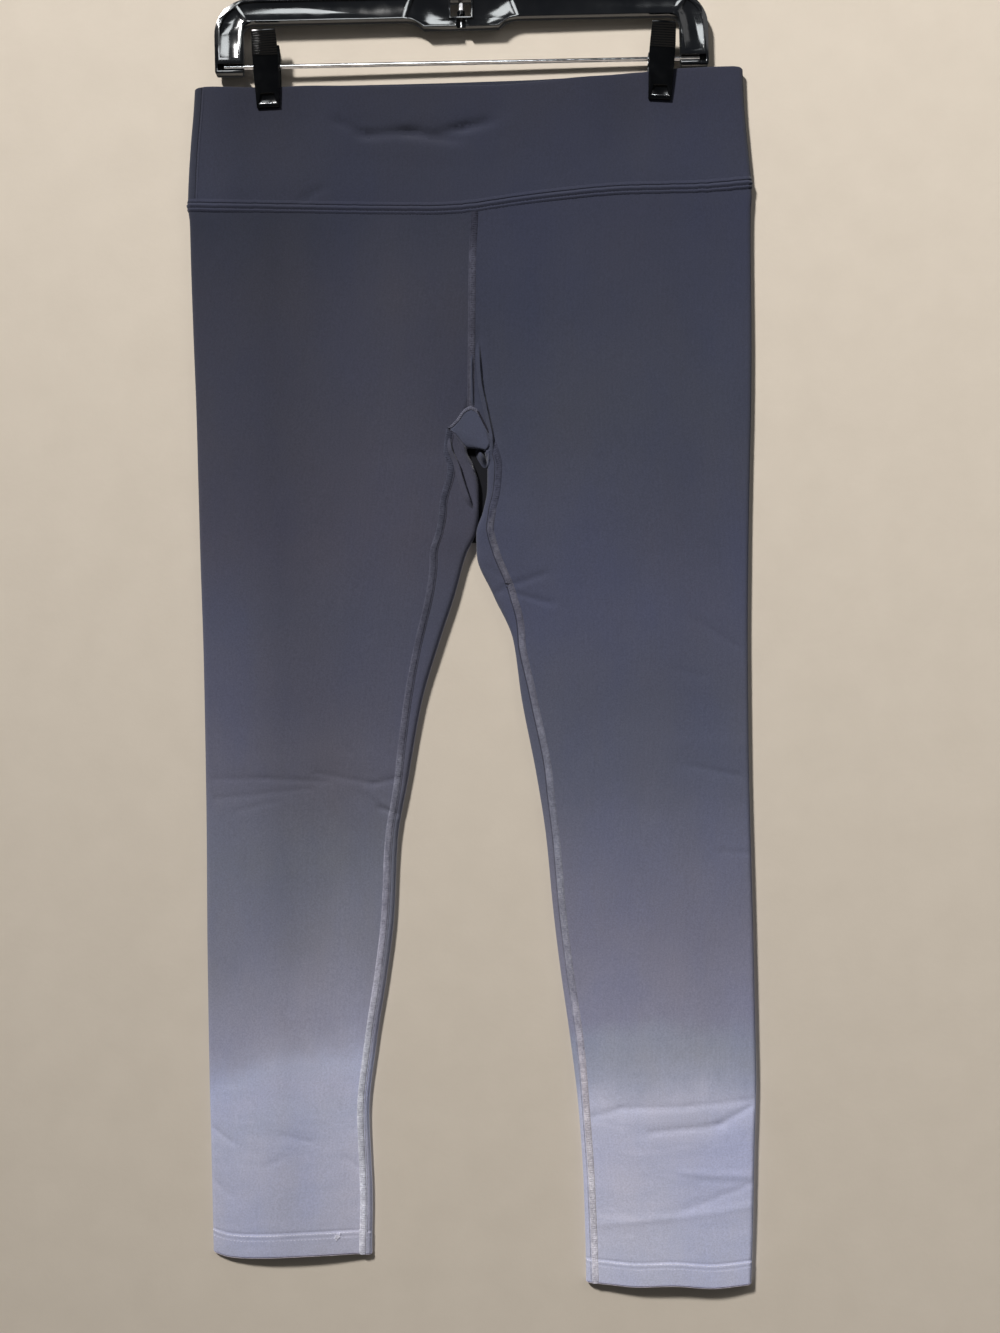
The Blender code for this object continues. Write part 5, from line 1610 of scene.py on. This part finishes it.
def rod(name, radius, along, start, end, finish, sides=32):
    """A round rod with eased ends; along is its axis, 0 for x and 2 for z."""
    ease = ROD_EASE * radius
    rows = []
    profile = [
        (start, ROD_TIP), (start, radius - ease), (start + ease, radius),
        (end - ease, radius), (end, radius - ease), (end, ROD_TIP),
    ]
    for at, wide in profile:
        row = []
        for a in steps_between(0, 2 * pi, sides)[:-1]:
            u, v, w = wide * cos(a) * MM, wide * sin(a) * MM, at * MM
            row.append((w, u, BAR_Z + v) if along == 0 else (u, v, BAR_Z + w))
        rows.append(row if along == 0 else row[::-1])
    uvs = [[(i, at) for i in range(sides)] for at, wide in profile]
    made = sheet_object(name, rows, uvs, finish, closed=True)
    made.data.set_sharp_from_angle(angle=ROD_SHARP)
    return made


Jaw = namedtuple("Jaw", "height outer inner")
JAW = [                       # section of one clip lever: how far out its faces lie
    Jaw(23, 10.3, 7.9), Jaw(12.5, 8.7, 5.9), Jaw(4, 7.4, 4.3), Jaw(-3, 6.5, 3.4), Jaw(-8, 6.0, 2.95),
    Jaw(-24, 5.4, 2.9), Jaw(-31, 4.6, 2.9),
]
JAW_TOP = [Corner(-0.9, 23.2), Corner(-0.1, 22.9)]   # its rounded top: from the outer face, height
JAW_ROUND = 0.5
RIDGE_SPAN = Span(22.0, 5.2)  # heights of its thumb ridges
RIDGE_COUNT = 10
RIDGE_RISE = 0.42
JAW_TAPER = 0.1               # share of its width lost towards its ends,
TAPER_SPAN = Span(4, 30)      # over these heights
CLIP_LEAN = {"left": radians(1.8), "right": radians(-4.0)}
TIP_RECESS = [Corner(-4.6, -21.2), Corner(4.6, -21.2), Corner(6.4, -28.2), Corner(-6.4, -28.2)]
RECESS_SPAN = Span(4.0, 8.0)  # how far out the recess is cut
LIP = Span(-28.2, -27.3)      # heights of the steel lip at its foot, and of its lugs
LIP_HALF = 5.9                # half its width
LIP_THICK = 0.35
LIP_OUT = Span(1.0, 0.35)     # how far in from the jaw's outer face it lies
LIP_ROUND = 0.12
LUG_WIDTH = 1.5


def jaw_outer(height):
    rows = sorted(JAW, key=lambda row: row.height)
    return float(np.interp(height, [row.height for row in rows], [row.outer for row in rows]))


def jaw_outline():
    """Section of a lever as (out, height), from the top of its ridged thumb pad down and back up."""
    points = [(JAW[0].outer + corner.x, corner.height) for corner in JAW_TOP]
    for i, height in enumerate(steps_between(RIDGE_SPAN.start, RIDGE_SPAN.end, 2 * RIDGE_COUNT)):
        points.append((jaw_outer(height) + RIDGE_RISE * (i % 2), height))
    points += [(row.outer, row.height) for row in JAW if row.height < RIDGE_SPAN.end - 1]
    return points + [(row.inner, row.height) for row in reversed(JAW)]


def clipped(made, side, finish):
    """Moves a piece made round the origin to its clip, and finishes it."""
    lean = Matrix.Rotation(-CLIP_LEAN[side], 4, "Y")
    made.data.transform(Matrix.Translation((CLIP_X[side] * MM, 0, BAR_Z)) @ lean)
    made.data.materials.append(finish)
    return made


def face_name(face):
    return "front" if face < 0 else "back"


def narrowing(height):
    return 1 - JAW_TAPER * smooth(TAPER_SPAN.start, TAPER_SPAN.end, abs(height))


def make_jaw(side, face):
    """One clip lever, with the recess near its tip."""
    rings = [
        [(x * CLIP_WIDTH * narrowing(h) * MM, face * out * MM, h * MM) for out, h in jaw_outline()]
        for x in (-0.5, 0.5)
    ]
    made = from_prisms(f"clip_{side}_{face_name(face)}_lever", [rings])
    ends = sorted((face * RECESS_SPAN.start, face * RECESS_SPAN.end))
    recess = from_prisms("recess", [slab(TIP_RECESS, *ends, level=0.0)])
    return clipped(carved(made, recess, JAW_ROUND, JAW_SHARP), side, CLIP_PLASTIC)


def make_tip_lip(side, face):
    """The bright steel lip that shows along the foot of a lever's recess."""
    out = jaw_outer(LIP.start - 0.2)
    low, top, wide = LIP.start, LIP.start + LIP_THICK, LIP_HALF
    shapes = [[
        Corner(-wide, low), Corner(wide, low), Corner(wide - 0.1, top), Corner(0.1 - wide, top),
    ]]
    for way in (-1, 1):
        shapes.append([
            Corner(way * (wide + 0.1), low), Corner(way * (wide + 0.1 - LUG_WIDTH), low),
            Corner(way * (wide - 0.3 - LUG_WIDTH / 2), LIP.end),
        ])
    ends = sorted((face * (out - LIP_OUT.start), face * (out - LIP_OUT.end)))
    name = f"clip_{side}_{face_name(face)}_lip"
    lip = from_prisms(name, [slab(shape, *ends, level=0.0) for shape in shapes])
    return clipped(rounded(lip, LIP_ROUND, HANGER_SHARP), side, STEEL)


SPRING_TURNS = 5
SPRING_STEPS = 20             # sections in each turn
SPRING_SIDES = 10
SPRING_RADIUS = 2.45
SPRING_WIRE = 0.6
SPRING_LENGTH = 7.4


def make_spring(side):
    """The torsion spring coiled on the bar between a clip's levers."""
    rows, uvs = [], []
    start = CLIP_X[side] - SPRING_LENGTH / 2
    places = steps_between(start, start + SPRING_LENGTH, SPRING_TURNS * SPRING_STEPS)
    for i, x in enumerate(places):
        a = 2 * pi * i / SPRING_STEPS
        out = Vector((0, cos(a), sin(a)))
        centre = Vector((x, 0, 0)) + SPRING_RADIUS * out
        row = []
        for b in steps_between(0, 2 * pi, SPRING_SIDES)[:-1]:
            point = centre + out * (SPRING_WIRE * cos(b)) + Vector((SPRING_WIRE * sin(b), 0, 0))
            row.append((point.x * MM, point.y * MM, BAR_Z + point.z * MM))
        rows.append(row)
        uvs.append([(j, i) for j in range(SPRING_SIDES)])
    return sheet_object(f"clip_{side}_coil", rows, uvs, STEEL, closed=True)


hanger = make_hanger()
bar = rod("hanger_clip_bar", BAR_RADIUS, 0, -BAR_LENGTH / 2, BAR_LENGTH / 2, STEEL)
pin = rod("hanger_hook_pin", 0.85, 2, 25.3, 32.4, STEEL, 16)
nut = rod("hanger_hook_nut", 2.9, 2, 33.4, 37.2, CLIP_PLASTIC, 24)
jaws = {(side, face): make_jaw(side, face) for side in ("left", "right") for face in (-1, 1)}
lips = [make_tip_lip(side, face) for side in ("left", "right") for face in (-1, 1)]
coils = {side: make_spring(side) for side in ("left", "right")}


# ---------------------------------------------------------------- camera, light and stage
CAMERA_PLACE = (0.01834, -0.95, -0.58698)
CAMERA_ROLL = radians(1.2)
CAMERA_SENSOR = 36
CAMERA_LENS = 35.472
CAMERA_CLIP = Span(0.01, 30)
Lamp = namedtuple("Lamp", "name place aim size power tone unseen_by")
WHITE = (1, 1, 1)
LAMPS = [                     # the key is turned well aside, so that it falls evenly on the cloth
    Lamp("Key", (-2.15, -3.25, 3.0), (6.99, 0, 5.23), 0.66, 750, (1.0, 0.98, 0.955), None),
    Lamp(
        "Reflected card", (-0.19, -1.36, 0.8), (-0.05, 0, 0.1), 0.46, 10, (0.95, 0.99, 1.0),
        "diffuse",
    ),
    Lamp("Right card", (1.5, -1.7, 1.1), (0.1, 0, -0.1), 1.1, 5, (1.0, 0.99, 0.98), None),
    Lamp("Back 1", (-0.7, 1.8, 0.3), (0, 0, -0.5), 1.6, 30, WHITE, "glossy"),
    Lamp("Back 2", (1.2, 1.6, -0.6), (0, 0, -0.5), 1.6, 30, WHITE, "glossy"),
]
ROOM_TONE = (0.86, 0.85, 0.83, 1)
ROOM_LIGHT = 0.08


def make_camera():
    data = bpy.data.cameras.new("Camera")
    data.sensor_width = CAMERA_SENSOR
    data.lens = CAMERA_LENS
    data.clip_start = CAMERA_CLIP.start
    data.clip_end = CAMERA_CLIP.end
    made = new_object("Camera", data)
    x, y, z = CAMERA_PLACE
    made.matrix_world = Matrix((
        (cos(CAMERA_ROLL), sin(CAMERA_ROLL), 0, x),
        (0, 0, -1, y),
        (-sin(CAMERA_ROLL), cos(CAMERA_ROLL), 0, z),
        (0, 0, 0, 1),
    ))
    bpy.context.scene.camera = made


def area_light(lamp):
    data = bpy.data.lights.new(lamp.name, "AREA")
    data.shape = "SQUARE"
    data.size = lamp.size
    data.energy = lamp.power
    data.color = lamp.tone
    made = new_object(lamp.name, data)
    made.location = lamp.place
    made.rotation_euler = (Vector(lamp.aim) - Vector(lamp.place)).to_track_quat("-Z", "Y").to_euler()
    if lamp.unseen_by:
        setattr(made, f"visible_{lamp.unseen_by}", False)


def make_room():
    world = bpy.data.worlds.new("Soft room")
    world.use_nodes = True
    background = world.node_tree.nodes["Background"].inputs
    background["Color"].default_value = ROOM_TONE
    background["Strength"].default_value = ROOM_LIGHT
    bpy.context.scene.world = world


def stage_plane(name, corners, finish):
    mesh = bpy.data.meshes.new(name)
    mesh.from_pydata(corners, [], [(0, 1, 2, 3)])
    mesh.materials.append(finish)
    made = new_object(name, mesh)
    return made


PLASTER, PLASTER_BUMP = Grain(260, 3), Bump(0.3, 0.3)
PLASTER_CLOUDS = Grain(30, 4)


def plaster_shade(name, dark, light):
    shade = Shade(name, 0.9)
    place = shade.place()
    clouds = shade.noise(place, PLASTER_CLOUDS)
    tone = shade.ramp(clouds, [(0.3, colour(*dark)), (0.7, colour(*light))])
    shade.finish(Base_Color=tone, Normal=shade.bump(shade.noise(place, PLASTER), PLASTER_BUMP))
    return shade


def wall_shade():
    """Plaster that is clear from behind, so that the cloth's back is seen too."""
    shade = plaster_shade("Cream wall", (213, 202, 187), (217, 206, 191))
    clear = shade.node("ShaderNodeBsdfTransparent")
    behind = shade.node("ShaderNodeNewGeometry").outputs["Backfacing"]
    sides = {0: behind, 1: shade.shader.outputs[0], 2: clear.outputs[0]}
    both = shade.node("ShaderNodeMixShader", sides)
    shade.links.new(both.outputs[0], shade.nodes["Material Output"].inputs["Surface"])
    return shade.material


FLOOR_Z = -1.25
FLOOR_REACH = 3.0
WALL_REACH = 2.5
WALL_TOP = 1.2
WALL_Y = 0.0059               # behind the clip bar
WALL_RISE = 0.0042            # it lies closer behind the hems than behind the hanger,
WALL_TURN = -0.0085           # and closer on the right


def wall_corner(x, z):
    return (x, WALL_Y + WALL_RISE * (z - BAR_Z) + WALL_TURN * x, z)


SQUARE = ((-1, -1), (1, -1), (1, 1), (-1, 1))
wall_corners = [wall_corner(x * WALL_REACH, FLOOR_Z if z < 0 else WALL_TOP) for x, z in SQUARE]
wall = stage_plane("Wall", wall_corners, wall_shade())
for flag in ("visible_diffuse", "visible_glossy", "visible_transmission", "visible_shadow"):
    setattr(wall, flag, False)
floor_corners = [(x * FLOOR_REACH, y * FLOOR_REACH, FLOOR_Z) for x, y in SQUARE]
floor_finish = plaster_shade("Pale floor", (211, 201, 188), (216, 206, 194)).material
floor = stage_plane("Floor", floor_corners, floor_finish)
floor.visible_diffuse = False

make_camera()
make_room()
for lamp in LAMPS:
    area_light(lamp)
bpy.context.scene.view_settings.view_transform = "Standard"

# ---------------------------------------------------------------- finishes on the carried over nodes
for name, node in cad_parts.items():
    finish = STEEL if "spring" in name or name in ("hanger_bar", "hanger_hook") else PLASTIC
    if name.startswith(("hanger", "clip")):
        for material_slot in node.material_slots:
            material_slot.material = finish


def rides(piece, instead_of=None):
    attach(piece, "root")
    if instead_of:
        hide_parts(instead_of)


for piece in [pin, nut, *lips, *trim]:
    rides(piece)
rides(hanger, "hanger_body")
rides(bar, "hanger_bar")
for (side, face), jaw in jaws.items():
    rides(jaw, f"clip_{side}_{face_name(face)}")
for side, coil in coils.items():
    rides(coil, f"clip_{side}_spring")
for side, leg in legs.items():
    rides(leg, f"leg_{side}")
for face, band in bands.items():
    rides(band, f"waistband_{face_name(face)}")
rides(gusset, "gusset")
for piece in [waist_strip, *inseams.values(), *centres.values(), *folds]:
    rides(piece)
